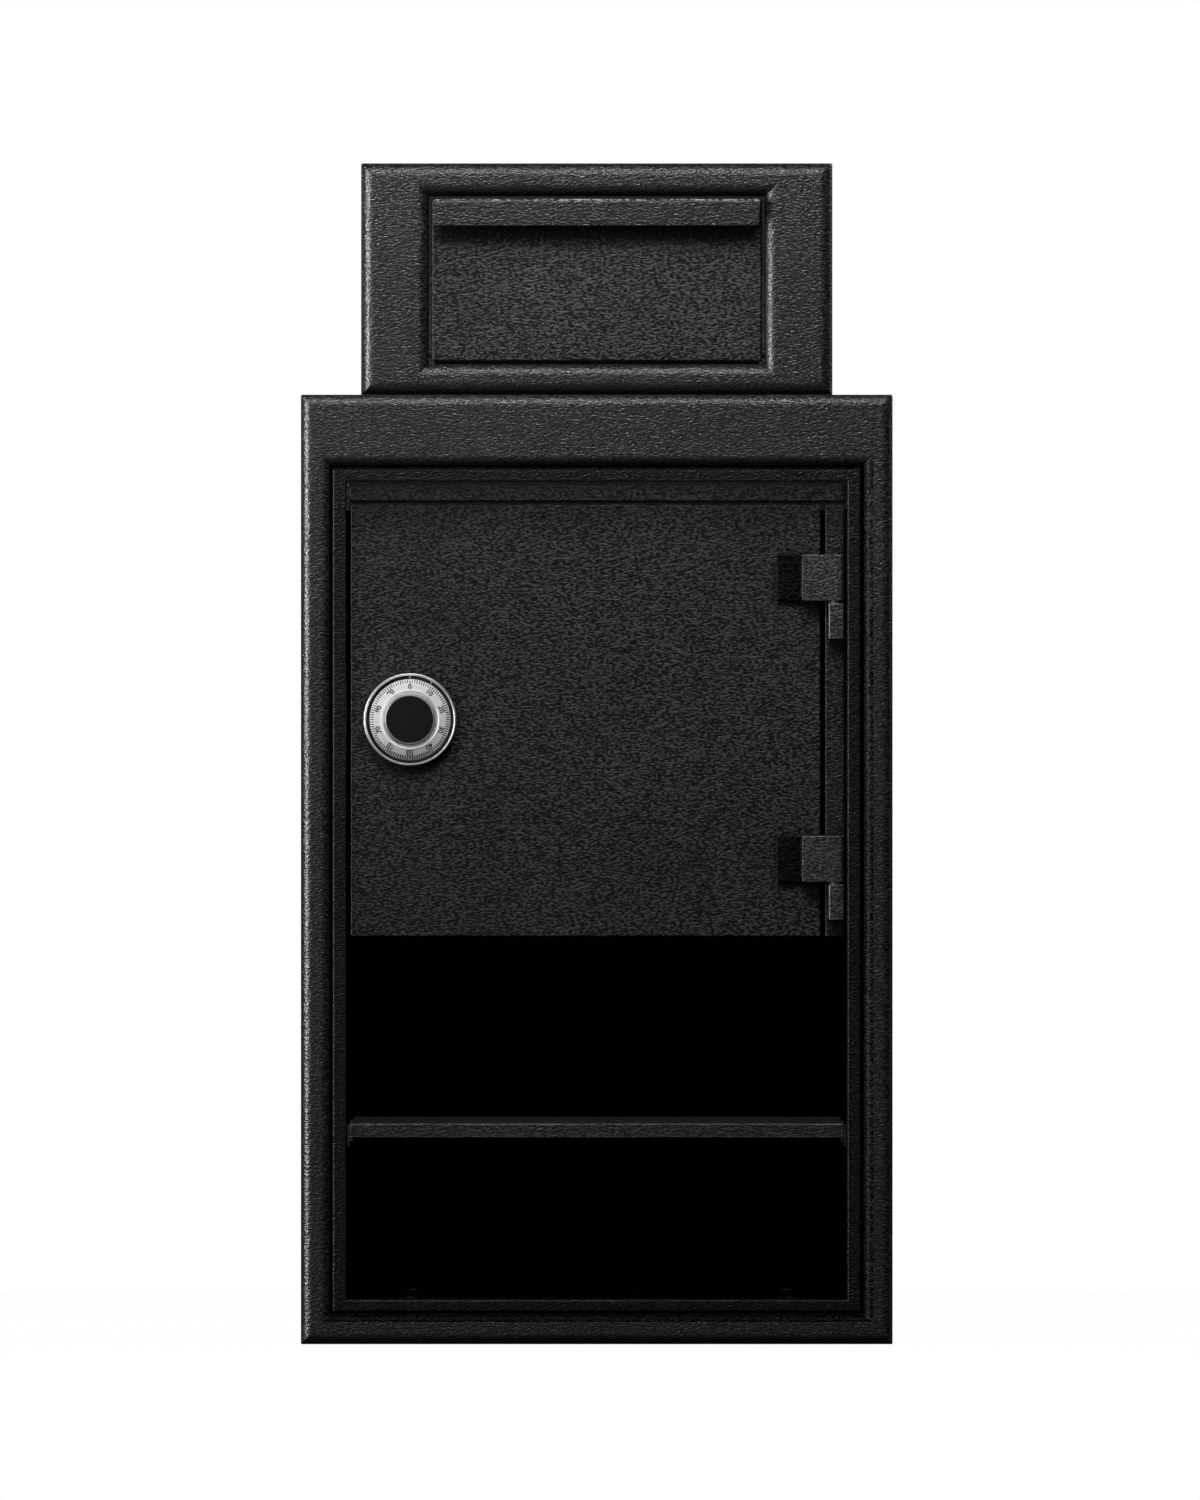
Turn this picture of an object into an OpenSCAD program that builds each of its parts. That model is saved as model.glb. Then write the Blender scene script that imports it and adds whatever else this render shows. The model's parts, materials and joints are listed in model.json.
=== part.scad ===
// Depository drop box: a thick-walled steel cabinet with a tilting deposit hopper on top,
// a locked inner compartment behind a combination-dial door, and an open bay with a shelf.
// Millimetres. Origin: centre of the footprint on the floor. +Z up, the front faces -Y.

/* [Cabinet] */
// Width of the cabinet
body_w = 592; // [580:1:610]
// Height of the cabinet without its hopper
body_h = 950; // [945:1:960]
// Depth of the cabinet
body_d = 560; // [550:1:600]
// Thickness of the outer steel plates
plate_t = 4; // [3:0.5:5]
// Radius of the front frame's outer rolled edge
frame_roll = 11; // [8:1:12]
// Radius of the rolled edge round the front opening
frame_inner_roll = 10; // [7:1:10]

/* [Front opening] */
// Width of the opening in the front frame
opening_w = 535; // [530:1:540]
// Height of the opening's lower edge above the floor
opening_low = 30; // [28:1:32]
// Height of the opening's upper edge above the floor
opening_high = 880; // [878:1:884]
// Clear width inside the jamb
clear_w = 502; // [500:1:504]

/* [Inner door] */
// Width of the inner door
door_w = 471; // [468:1:471]
// Height of the inner door
door_h = 433; // [425:1:433]
// Thickness of the inner door's plate
door_t = 12; // [10:1:12]
// Depth of the inner door's face behind the front frame's face
door_recess = 55; // [54:1:60]

/* [Hopper] */
// Width of the hopper head
hopper_w = 472; // [468:1:490]
// Height of the hopper head
hopper_h = 232; // [230:1:240]
// Depth of the hopper head
hopper_d = 412; // [405:1:420]
// Radius of the hopper face's outer rolled edge
hopper_roll = 13; // [9:1:14]
// Width of the window that the deposit drawer closes
window_w = 336; // [334:1:338]
// Height of the window
window_h = 168; // [167:1:170]

/* [Dial] */
// Outer diameter of the dial ring
ring_d = 93; // [90:1:96]
// Diameter of the dial
dial_d = 81; // [79:1:82]

/* [Hidden] */

slack = 0.5;            // how far a cutter runs past the face that it cuts
steps = 8;              // straight steps in a rolled edge's quarter turn
$fn = 48;

// Cabinet, front to back
front_y = -body_d / 2;
back_y = body_d / 2;
side_x = body_w / 2;
frame_depth = 40;
frame_back = front_y + frame_depth;

// Jamb: a ring that stands in the front opening behind a narrow groove
jamb_gap = 3;
jamb_front = front_y + 10;
groove_end = front_y + 25;
jamb_back = front_y + 67;
groove_low = 2.5;
groove_high = 4.5;
clear_x = clear_w / 2;
clear_low = opening_low + 14;
clear_high = opening_high - 16.5;

// Liner and barrier
liner_t = 2;
liner_x = clear_x + liner_t;
liner_back = back_y - 44;

// Inner door, its header and its hinge stile
door_front = front_y + door_recess;
door_back = door_front + door_t;
door_left = -clear_x + 4.25;
door_right = door_left + door_w;
door_low = 407.5;
door_high = door_low + door_h;
header_low = door_high + 3.5;
stile_left = clear_x - 22;
stile_right = clear_x - 2.75;
web_back = door_back + 6;
floor_low = door_low + 0.5;
floor_t = 6;
floor_top = floor_low + floor_t;
floor_front = door_back + 0.5;
recess_gap = 3;         // dark gap between the jamb and what stands in the recess
lintel_drop = 6.5;
lintel_gap = 0.3;
stop_top = door_high - 7;
angle_w = 22;
angle_t = 3;

// Shelf
shelf_x = clear_x - 3;
shelf_high = 219.5;
shelf_lip = 14;
shelf_front = jamb_back + 6;
shelf_d = 400;
shelf_t = 2;
shelf_return = 12;
clip_w = 20;
clip_drop = 22;
clip_reach = 18;
clip_t = 2;
clip_y = [-140, 110];

// Hinges
hinge_x = clear_x - 10.75;
hinge_y = door_front - 9;
knuckle_r = 8.25;
hinge_pin_r = 5;
running_gap = 0.06;
block_left = hinge_x - 34.5;
leaf_left = hinge_x - 59.5;
leaf_t = 6;
block_h = 46;
knuckle_h = 35.5;
washer_t = 2.6;
hinge_blocks_low = [744.2, 462.4];     // lower end of each hinge block

// Combination lock
lock_x = -187.25;
lock_z = 625;
lock_left = lock_x - 50;
lock_right = lock_x + 40;
lock_low = lock_z - 33;
lock_high = lock_z + 33;
lock_wall = 2.5;
lock_post = 8;
lock_back = door_back + 26;
cover_t = 2.5;
spindle_r = 4;
tube_r = 5.5;
post_r = 6.25;
cam_r = 18;
wheel_r = 17.5;
wheel_t = 1.8;
wheel_pitch = 3.8;
first_wheel = door_back + 9.5;
bolt_front = door_back + 7.5;
bolt_back = door_back + 16.5;
bolt_tip = door_left + 2.25;
bolt_h = 25;
slot_gap = 3;
slot_half = 16;
strike_half = 30;
strike_d = 28;
strike_slot_d = 15;
screw_inset = 4.5;
screw_head_r = 3.9;
screw_head_h = 2.6;
change_hole_r = 3;
gate_half = 2;
gate_d = 4.5;
pin_hole_r = 1.4;
pin_circle_r = 11.5;
case_gap = 0.3;
lever_x = lock_x - 27.75;
lever_z = lock_z + 21.5;
screw_r = 2;

// Hopper
hopper_x = hopper_w / 2;
hopper_front = front_y + 18;
hopper_rear = hopper_front + hopper_d;
hopper_top_z = body_h + hopper_h;
hopper_t = 3;
base_t = 4;
face_depth = 30;
window_low = body_h + 31;
window_high = window_low + window_h;
window_x = window_w / 2;
window_roll = 12;

// Deposit drawer, which tilts about a pivot behind its lower edge
drawer_front_y = hopper_front + 10;
drawer_x = window_x - 2.5;
drawer_low = window_low + 2.5;
drawer_high = window_high - 3;
drawer_depth = 13;
drawer_t = 2.5;
pivot_y = drawer_front_y + 12;
pivot_z = drawer_low + 8.5;
pin_r = 5;
tray_x = drawer_x - 5.5;
tray_slope = 34.2;
tray_length = 193;
tray_t = 2;
fold_gap = 4;
weight_t = 14;
stop_r = 125;
stop_angle = 32;
stop_y = pivot_y + stop_r * cos(stop_angle);
stop_z = pivot_z + stop_r * sin(stop_angle);
tray_edge = 6;
weight_d = 30;
weight_inset = 12;
handle_reach = 22;
handle_drop = 27;
bracket_x = window_x + 2;
bracket_t = 6;
bracket_front = 9.5;
bracket_rear = 25;
bushing_r = 8;
bumper_z = pivot_z + 48;
bumper_h = 20;
bumper_gap = 0.2;
baffle_y = pivot_y + 188;
baffle_t = 3;
baffle_half = 220;
baffle_flange = 20;

// Throat from the hopper down into the locked compartment
throat_x = window_x;
throat_front = -198;
throat_rear = 62;
throat_t = 2.5;
comb_drop = 20;
tooth_pitch = 20;

// Anchor holes in the floor
anchor_x = 190;
anchor_y = 150;
anchor_r = 7;
sleeve_r = 9;
sleeve_hole_r = 9.1;
hopper_bolt_r = 5;
hopper_hole_r = 5.5;

charcoal = [0.15, 0.15, 0.16];
dark_grey = [0.09, 0.09, 0.1];
lining_black = [0.03, 0.03, 0.03];
concrete = [0.55, 0.54, 0.5];
zinc = [0.7, 0.71, 0.72];
brass = [0.75, 0.62, 0.3];
bronze = [0.55, 0.4, 0.22];
chrome = [0.82, 0.82, 0.84];
rubber = [0.07, 0.07, 0.07];

// ---------- helpers ----------

// A block between two corners
module block(low, high) {
    translate(low) cube(high - low);
}

// 2D children in the (Y, Z) plane, extruded along X
module along_x(x0, x1) {
    translate([x0, 0, 0]) rotate([90, 0, 90]) linear_extrude(x1 - x0) children();
}

// 2D children in the (X, Z) plane, extruded along Y
module along_y(y0, y1) {
    translate([0, y1, 0]) rotate([90, 0, 0]) linear_extrude(y1 - y0) children();
}

// 2D children in the (X, Y) plane, extruded along Z
module along_z(z0, z1) {
    translate([0, 0, z0]) linear_extrude(z1 - z0) children();
}

// A round bar along each axis
module bar_x(x0, x1, y, z, r) {
    translate([x0, y, z]) rotate([0, 90, 0]) cylinder(h = x1 - x0, r = r);
}
module bar_y(y0, y1, x, z, r) {
    translate([x, y1, z]) rotate([90, 0, 0]) cylinder(h = y1 - y0, r = r);
}
module bar_z(z0, z1, x, y, r) {
    translate([x, y, z0]) cylinder(h = z1 - z0, r = r);
}

// The child and its mirror image in the YZ plane
module both_sides() {
    children();
    mirror([1, 0, 0]) children();
}

function swap(points) = [for (p = points) [p[1], p[0]]];
function arc(cx, cy, r, from, to, n = steps) =
    [for (i = [0:n]) let (a = from + (to - from) * i / n) [cx + r * cos(a), cy + r * sin(a)]];

// Outline of a bar from a to b, seen along its length, whose two front corners are rounded
function rounded_front(a, b, y0, y1, r) = concat(
    [[a, y1]],
    arc(a + r, y0 + r, r, 180, 270),
    arc(b - r, y0 + r, r, 270, 360),
    [[b, y1]]);

// Outline of a window from a to b whose front corners flare out round a solid edge of radius r
function flared_front(a, b, y0, y1, r) = concat(
    [[a, y1]],
    arc(a - r, y0 + r, r, 0, -90),
    [[a - r, y0 - slack], [b + r, y0 - slack]],
    arc(b + r, y0 + r, r, 270, 180),
    [[b, y1]]);

// A block whose four front edges are rounded
module rolled_block(x, z, y0, y1, r) {
    intersection() {
        along_z(z[0], z[1]) polygon(rounded_front(x[0], x[1], y0, y1, r));
        along_x(x[0], x[1]) polygon(swap(rounded_front(z[0], z[1], y0, y1, r)));
    }
}

// The space of a window whose four front edges flare out
module flared_window(x, z, y0, y1, r) {
    intersection() {
        along_z(z[0] - 2 * r, z[1] + 2 * r) polygon(flared_front(x[0], x[1], y0, y1, r));
        along_x(x[0] - 2 * r, x[1] + 2 * r) polygon(swap(flared_front(z[0], z[1], y0, y1, r)));
    }
}

// A formed sheet face: rolled outer edges with side returns, and a window with a rolled lip
module rolled_face(x, z, y0, depth, r, win_x, win_z, win_r, lip, t) {
    difference() {
        union() {
            difference() {
                rolled_block(x, z, y0, y0 + depth, r);
                rolled_block([x[0] + t, x[1] - t], [z[0] + t, z[1] - t],
                    y0 + t, y0 + depth + slack, r - t);
            }
            intersection() {
                flared_window([win_x[0] - t, win_x[1] + t], [win_z[0] - t, win_z[1] + t],
                    y0 + t, y0 + lip, win_r - t);
                block([x[0], y0 + t, z[0] + t], [x[1], y0 + lip, z[1] - t]);
            }
        }
        flared_window(win_x, win_z, y0, y0 + depth + slack, win_r);
    }
}

// A rectangular tube along Y
module frame_ring(outer_x, outer_z, inner_x, inner_z, y0, y1) {
    difference() {
        block([-outer_x, y0, outer_z[0]], [outer_x, y1, outer_z[1]]);
        block([-inner_x, y0 - slack, inner_z[0]], [inner_x, y1 + slack, inner_z[1]]);
    }
}

// The rectangular space of the throat, running past the sheets that it goes through
module throat_space(z0, z1, grow = 0) {
    block([-throat_x - grow, throat_front - grow, z0], [throat_x + grow, throat_rear + grow, z1]);
}

// The slot that the lock bolt moves in, from x0 to x1
module bolt_slot(x0, x1) {
    block([x0, bolt_front - slot_gap, lock_z - slot_half],
        [x1, bolt_back + slot_gap, lock_z + slot_half]);
}

// Clearance holes for the hopper's bolts between two heights
module hopper_bolt_holes(z0, z1) {
    at_hopper_bolts() translate([0, 0, z0]) cylinder(h = z1 - z0, r = hopper_hole_r);
}

// The four anchor positions
module at_anchors() {
    for (x = [-anchor_x, anchor_x], y = [-anchor_y, anchor_y]) translate([x, y, 0]) children();
}

// ---------- cabinet ----------

module front_frame() {
    color(charcoal) rolled_face([-side_x, side_x], [0, body_h], front_y, frame_depth, frame_roll,
        [-opening_w / 2, opening_w / 2], [opening_low, opening_high], frame_inner_roll,
        frame_depth, plate_t);
}

module body_sides() {
    color(charcoal) both_sides()
        block([side_x - plate_t, frame_back, plate_t], [side_x, back_y - plate_t, body_h - plate_t]);
}

module body_top() {
    color(charcoal) difference() {
        block([-side_x, frame_back, body_h - plate_t], [side_x, back_y - plate_t, body_h]);
        throat_space(body_h - 2 * plate_t, body_h + plate_t);
        hopper_bolt_holes(body_h - 2 * plate_t, body_h + plate_t);
    }
}

module body_bottom() {
    color(charcoal) difference() {
        block([-side_x, frame_back, 0], [side_x, back_y - plate_t, plate_t]);
        at_anchors() translate([0, 0, -slack]) cylinder(h = plate_t + 2 * slack, r = sleeve_hole_r);
    }
}

module body_back() {
    color(charcoal) block([-side_x, back_y - plate_t, 0], [side_x, back_y, body_h]);
}

module jamb_frame() {
    outer_z = [opening_low, opening_high];
    inner_z = [clear_low, clear_high];
    color(dark_grey) union() {
        frame_ring(opening_w / 2 - jamb_gap, outer_z + [groove_low, -groove_high],
            clear_x, inner_z, jamb_front, groove_end);
        frame_ring(opening_w / 2, outer_z, clear_x, inner_z, groove_end, jamb_back);
    }
}

module inner_liner() {
    color(lining_black) difference() {
        block([-liner_x, jamb_back, clear_low - liner_t],
            [liner_x, liner_back, clear_high + liner_t]);
        block([-clear_x, jamb_back - slack, clear_low], [clear_x, liner_back - liner_t, clear_high]);
        throat_space(clear_high - slack, clear_high + liner_t + slack);
        bolt_slot(-liner_x - slack, -clear_x + slack);
        at_anchors() translate([0, 0, clear_low - liner_t - slack])
            cylinder(h = liner_t + 2 * slack, r = sleeve_hole_r);
    }
}

// Cast panels of barrier material between the outer plates and the liner
module barrier_panels() {
    out_x = side_x - plate_t;
    low = clear_low - liner_t;
    high = clear_high + liner_t;
    rear = back_y - plate_t;
    strike_rear = jamb_back + strike_d;
    color(concrete) {
        difference() {
            block([-out_x, jamb_back, plate_t], [out_x, rear, low]);
            at_anchors() cylinder(h = low + slack, r = sleeve_hole_r);
        }
        block([-out_x, liner_back, low], [out_x, rear, high]);
        block([liner_x, jamb_back, low], [out_x, liner_back, high]);
        block([-out_x, strike_rear, low], [-liner_x, liner_back, high]);
        block([-out_x, jamb_back, low], [-liner_x, strike_rear, lock_z - strike_half]);
        block([-out_x, jamb_back, lock_z + strike_half], [-liner_x, strike_rear, high]);
        block([-out_x, jamb_back, high], [out_x, throat_front, body_h - plate_t]);
        block([-out_x, throat_rear, high], [out_x, rear, body_h - plate_t]);
        both_sides() block([throat_x, throat_front, high], [out_x, throat_rear, body_h - plate_t]);
    }
}

module anchor_sleeves() {
    color(zinc) at_anchors() difference() {
        cylinder(h = clear_low, r = sleeve_r);
        translate([0, 0, -slack]) cylinder(h = clear_low + 2 * slack, r = anchor_r);
    }
}

// Steel block in the left wall that the lock bolt enters
module strike_block() {
    color(zinc) difference() {
        block([plate_t - side_x, jamb_back, lock_z - strike_half],
            [-liner_x, jamb_back + strike_d, lock_z + strike_half]);
        bolt_slot(-clear_x - strike_slot_d, -liner_x + slack);
    }
}

module compartment_header() {
    face_x = clear_x - recess_gap;
    face_high = clear_high - recess_gap;
    lintel_front = door_back + lintel_gap;
    color(charcoal) union() {
        block([-face_x, door_front, header_low], [face_x, door_back, face_high]);
        block([-clear_x, lintel_front, door_high - lintel_drop],
            [clear_x, web_back + 0.5, clear_high]);
        block([-face_x, door_back, header_low], [face_x, lintel_front, face_high]);
    }
}

module hinge_stile() {
    color(charcoal) union() {
        block([stile_left, door_front, door_low], [stile_right, door_back, door_high]);
        block([stile_left, door_back, floor_top], [clear_x, web_back, stop_top]);
    }
}

module compartment_floor() {
    color(lining_black)
        block([-clear_x, floor_front, floor_low], [clear_x, liner_back - liner_t, floor_top]);
}

// Angles that hold the compartment's floor to the side walls, on top of it
module floor_angles() {
    inner = clear_x - angle_w;
    web = clear_x - angle_t;
    color(lining_black) both_sides() along_y(web_back + 8, liner_back - 20)
        polygon([[clear_x, floor_top], [inner, floor_top], [inner, floor_top + angle_t],
            [web, floor_top + angle_t], [web, floor_top + angle_w],
            [clear_x, floor_top + angle_w]]);
}

// Strips behind the inner door's free edge, with a gap for the lock bolt
module door_stop() {
    clear_of_lock = lock_high - lock_z + 3;
    color(lining_black)
        for (z = [[floor_top, lock_z - clear_of_lock], [lock_z + clear_of_lock, stop_top]])
            block([-clear_x, floor_front, z[0]], [door_left + 7, web_back + 1.5, z[1]]);
}

module shelf() {
    rear = shelf_front + shelf_d;
    low = shelf_high - shelf_lip;
    color(charcoal) along_x(-shelf_x, shelf_x) polygon([
        [shelf_front, shelf_high], [rear, shelf_high], [rear, low], [rear - shelf_t, low],
        [rear - shelf_t, shelf_high - shelf_t], [shelf_front + shelf_t, shelf_high - shelf_t],
        [shelf_front + shelf_t, low + shelf_t], [shelf_front + shelf_return, low + shelf_t],
        [shelf_front + shelf_return, low], [shelf_front, low]]);
}

module shelf_clips() {
    top = shelf_high - shelf_t;
    color(zinc) both_sides() for (y = clip_y) along_y(y, y + clip_w)
        polygon([[clear_x, top], [clear_x - clip_reach, top], [clear_x - clip_reach, top - clip_t],
            [clear_x - clip_t, top - clip_t], [clear_x - clip_t, top - clip_drop],
            [clear_x, top - clip_drop]]);
}

// ---------- throat ----------

module throat_liner() {
    bottom = clear_high - 2;
    base_top = body_h + base_t;
    color(dark_grey) difference() {
        union() {
            throat_space(bottom, base_top);
            throat_space(base_top, base_top + throat_t, 12);
        }
        throat_space(bottom - slack, base_top + throat_t + slack, -throat_t);
    }
}

// Saw-toothed strips that hang from the throat's front and rear walls
module fish_comb() {
    half = throat_x - throat_t - 6;
    top = clear_high + 12;
    root = clear_high - 4;
    count = floor(2 * half / tooth_pitch);
    start = -count * tooth_pitch / 2;
    teeth = [for (i = [0:count - 1], p = [0, 0.5])
        [start + (i + p) * tooth_pitch, p == 0 ? root : root - comb_drop]];
    outline = concat([[start, top]], teeth, [[-start, root], [-start, top]]);
    color(dark_grey) {
        along_y(throat_rear - throat_t - 2, throat_rear - throat_t) polygon(outline);
        along_y(throat_front + throat_t, throat_front + throat_t + 2) polygon(outline);
    }
}

// ---------- hinges ----------

module at_hinges() {
    for (z = hinge_blocks_low) translate([0, 0, z]) children();
}

module frame_knuckles() {
    corner = 2.5;
    outline = concat([[hinge_x - knuckle_r, door_front]],
        arc(hinge_x - knuckle_r + corner, hinge_y - knuckle_r + corner, corner, 180, 270, 4),
        arc(hinge_x + knuckle_r - corner, hinge_y - knuckle_r + corner, corner, 270, 360, 4),
        [[hinge_x + knuckle_r, door_front]]);
    color(charcoal) at_hinges() difference() {
        along_z(-washer_t - knuckle_h, -washer_t) polygon(outline);
        bar_z(-washer_t - knuckle_h + 4, slack, hinge_x, hinge_y, hinge_pin_r);
    }
}

module hinge_pins() {
    color(zinc) at_hinges()
        bar_z(-washer_t - knuckle_h + 4, block_h - 8, hinge_x, hinge_y, hinge_pin_r);
}

module hinge_washers() {
    color(bronze) at_hinges() difference() {
        bar_z(-washer_t, -0.15, hinge_x, hinge_y, knuckle_r - 0.5);
        bar_z(-washer_t - slack, slack, hinge_x, hinge_y, hinge_pin_r);
    }
}

module hinge_blocks() {
    corner = 4.5;
    right = hinge_x + knuckle_r;
    front = hinge_y - knuckle_r;
    leaf_front = door_front - leaf_t;
    outline = concat(
        [[block_left, leaf_front], [block_left, front]],
        arc(right - corner, front + corner, corner, 270, 360, 6),
        arc(hinge_x, hinge_y, knuckle_r, 0, 150, 12));
    color(charcoal) at_hinges() difference() {
        along_z(0, block_h) polygon(concat(outline, [[hinge_x - knuckle_r, leaf_front]]));
        bar_z(-slack, block_h - 7, hinge_x, hinge_y, hinge_pin_r + running_gap);
    }
}

module hinge_leaves() {
    color(dark_grey) at_hinges()
        block([leaf_left, door_front - leaf_t, 0], [door_right, door_front, block_h]);
}

// ---------- inner door ----------

module at_lock_screws() {
    for (x = [lock_left + screw_inset, lock_right - screw_inset],
        z = [lock_low + screw_inset, lock_high - screw_inset])
        translate([x, 0, z]) children();
}

module inner_door_plate() {
    color(charcoal) difference() {
        block([door_left, door_front, door_low], [door_right, door_back, door_high]);
        bar_y(door_front - slack, door_back + slack, lock_x, lock_z, tube_r);
        at_lock_screws() bar_y(door_back - 8, door_back + slack, 0, 0, screw_r);
    }
}

// Bar on the hinge side that reaches behind the stile and holds the door if the hinges are cut
module dead_bar() {
    color(zinc) along_z(door_low + 26, door_high - 30) polygon([
        [door_right - 30, door_back], [door_right - 3, door_back], [door_right - 3, web_back + 2.5],
        [hinge_x - 5.25, web_back + 2.5], [hinge_x - 5.25, web_back + 9],
        [door_right - 30, web_back + 9]]);
}

// A profile of (radius, height in front of the door) turned about the lock's axis
module turned(points) {
    translate([lock_x, door_front, lock_z]) rotate([90, 0, 0]) rotate_extrude($fn = 96)
        polygon(points);
}

module dial_ring() {
    r = ring_d / 2;
    inner = dial_d / 2 + 0.6;
    color(chrome) turned([[tube_r, 0], [r, 0], [r, 8.5], [r - 1, 10.5], [r - 2.5, 10.5],
        [r - 3, 8], [inner, 7], [inner, 3], [tube_r, 3]]);
}

module spindle_tube() {
    color(brass) difference() {
        bar_y(door_front - 3, door_back + lock_wall, lock_x, lock_z, tube_r);
        bar_y(door_front - 4, door_back + lock_wall + slack, lock_x, lock_z, spindle_r + running_gap);
    }
}

module dial() {
    r = dial_d / 2;
    color(chrome) turned([[spindle_r, 3.6], [r, 3.6], [r, 8.5], [r - 5, 10.2], [29, 11.5],
        [28.5, 10.5], [spindle_r, 10.5]]);
}

module dial_knob() {
    color(chrome) turned([[spindle_r, 10.5], [28, 10.5], [28, 14], [26.5, 18], [26, 27],
        [25, 30], [23.6, 30.5], [23.6, 29.3], [0, 29.3], [0, 22], [spindle_r, 22]]);
}

module knob_cap() {
    color("black") turned([[0, 29.3], [23.5, 29.3], [23.5, 30.2], [22.5, 30.9], [0, 30.9]]);
}

module spindle() {
    color(brass) bar_y(door_front - 22, first_wheel + 5, lock_x, lock_z, spindle_r);
}

// ---------- combination lock ----------

module lock_case() {
    left_wall = lock_left + lock_wall;
    color(zinc) difference() {
        block([lock_left, door_back, lock_low], [lock_right, lock_back, lock_high]);
        block([left_wall, door_back + lock_wall, lock_low + lock_post],
            [lock_right - lock_wall, lock_back + slack, lock_high - lock_post]);
        block([lock_left + lock_post, door_back + lock_wall, lock_low + lock_wall],
            [lock_right - lock_post, lock_back + slack, lock_high - lock_wall]);
        block([lock_left - slack, bolt_front - case_gap, lock_z - bolt_h / 2 - case_gap],
            [left_wall + slack, bolt_back + case_gap, lock_z + bolt_h / 2 + case_gap]);
        bar_y(door_back - slack, door_back + lock_wall + slack, lock_x, lock_z, tube_r);
        at_lock_screws() bar_y(door_back - slack, lock_back + slack, 0, 0, screw_r);
    }
}

module lock_cover() {
    color(zinc) difference() {
        block([lock_left, lock_back, lock_low], [lock_right, lock_back + cover_t, lock_high]);
        at_lock_screws() bar_y(lock_back - slack, lock_back + cover_t + slack, 0, 0, screw_r);
        bar_y(lock_back - slack, lock_back + cover_t + slack, lock_x + 24, lock_z - 14,
            change_hole_r);
    }
}

module lock_screws() {
    head = lock_back + cover_t;
    color(zinc) at_lock_screws() difference() {
        union() {
            bar_y(door_back - 7.5, head, 0, 0, screw_r);
            bar_y(head, head + screw_head_h, 0, 0, screw_head_r);
        }
        block([-3.2, head + 1.4, -0.6], [3.2, head + 3.2, 0.6]);
    }
}

module wheel_post() {
    color(brass) difference() {
        bar_y(first_wheel - 0.6, lock_back, lock_x, lock_z, post_r);
        bar_y(first_wheel - 1.2, first_wheel + 6, lock_x, lock_z, spindle_r + 0.3);
    }
}

module wheel_spacers() {
    color(brass) for (i = [0:1]) difference() {
        bar_y(first_wheel + i * wheel_pitch + wheel_t + 0.15,
            first_wheel + (i + 1) * wheel_pitch - 0.15, lock_x, lock_z, 9);
        bar_y(first_wheel - slack, lock_back, lock_x, lock_z, post_r);
    }
}

// A wheel with its gate at the top and change-key holes round its hub
module lock_wheel(i) {
    y = first_wheel + i * wheel_pitch;
    color(brass) difference() {
        bar_y(y, y + wheel_t, lock_x, lock_z, wheel_r);
        bar_y(y - slack, y + wheel_t + slack, lock_x, lock_z, post_r + running_gap);
        block([lock_x - gate_half, y - slack, lock_z + wheel_r - gate_d],
            [lock_x + gate_half, y + wheel_t + slack, lock_z + wheel_r + 1]);
        for (a = [45:45:315]) bar_y(y - slack, y + wheel_t + slack,
            lock_x + pin_circle_r * sin(a), lock_z + pin_circle_r * cos(a), pin_hole_r);
    }
}

module drive_cam() {
    color(brass) difference() {
        bar_y(door_back + 3.2, door_back + 8, lock_x, lock_z, cam_r);
        bar_y(door_back + 2, door_back + 9, lock_x, lock_z, spindle_r);
        along_y(door_back + 2, door_back + 9) polygon([
            [lock_x - 3, lock_z + cam_r - 5], [lock_x + 3, lock_z + cam_r - 5],
            [lock_x + 6, lock_z + cam_r + 1], [lock_x - 4, lock_z + cam_r + 1]]);
    }
}

module lock_bolt() {
    inner_end = lock_x - 21.75;
    color(brass) difference() {
        union() {
            block([bolt_tip, bolt_front, lock_z - bolt_h / 2],
                [inner_end, bolt_back, lock_z + bolt_h / 2]);
            block([inner_end - 12, bolt_front, lock_z], [inner_end, bolt_back, lever_z + 3.5]);
        }
        bar_y(bolt_front - slack, bolt_front + 5, lever_x, lever_z, screw_r);
    }
}

module lever_screw() {
    color(zinc) bar_y(bolt_front - 4.6, bolt_front + 5, lever_x, lever_z, screw_r);
}

// Lever on the bolt, with the nose that rides on the cam and the fence across the wheels
module lever() {
    front = bolt_front - 4.4;
    back = bolt_front - 0.4;
    tip = lock_x + 4;
    nose = 1.5;
    nose_z = lock_z + cam_r + 0.4;
    under = lever_z - 0.4;
    over = lever_z + 2.6;
    color(zinc) difference() {
        union() {
            along_y(front, back) polygon([
                [lever_x - 4, lever_z - 3], [lever_x + 6, lever_z - 3], [lock_x - 9, under],
                [lock_x - nose - 1, under], [lock_x - nose, nose_z], [lock_x + nose, nose_z],
                [lock_x + nose + 1, under], [tip, under], [tip, over], [lever_x - 4, over]]);
            block([lock_x - nose, back, lever_z - 0.8],
                [lock_x + nose, lock_back - 2, lever_z + 2.2]);
        }
        bar_y(front - slack, back + slack, lever_x, lever_z, screw_r + running_gap);
    }
}

// ---------- hopper ----------

module at_hopper_bolts() {
    for (x = [-200, 200], y = [-150, -20, 110]) translate([x, y, 0]) children();
}

module hopper_face() {
    color(charcoal) rolled_face([-hopper_x, hopper_x], [body_h, hopper_top_z], hopper_front,
        face_depth, hopper_roll, [-window_x, window_x], [window_low, window_high], window_roll,
        window_roll, hopper_t);
}

module hopper_sides() {
    color(charcoal) both_sides()
        block([hopper_x - hopper_t, hopper_front + face_depth, body_h + base_t],
            [hopper_x, hopper_rear, hopper_top_z - hopper_t]);
}

module hopper_top() {
    color(charcoal) block([-hopper_x, hopper_front + face_depth, hopper_top_z - hopper_t],
        [hopper_x, hopper_rear, hopper_top_z]);
}

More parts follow.
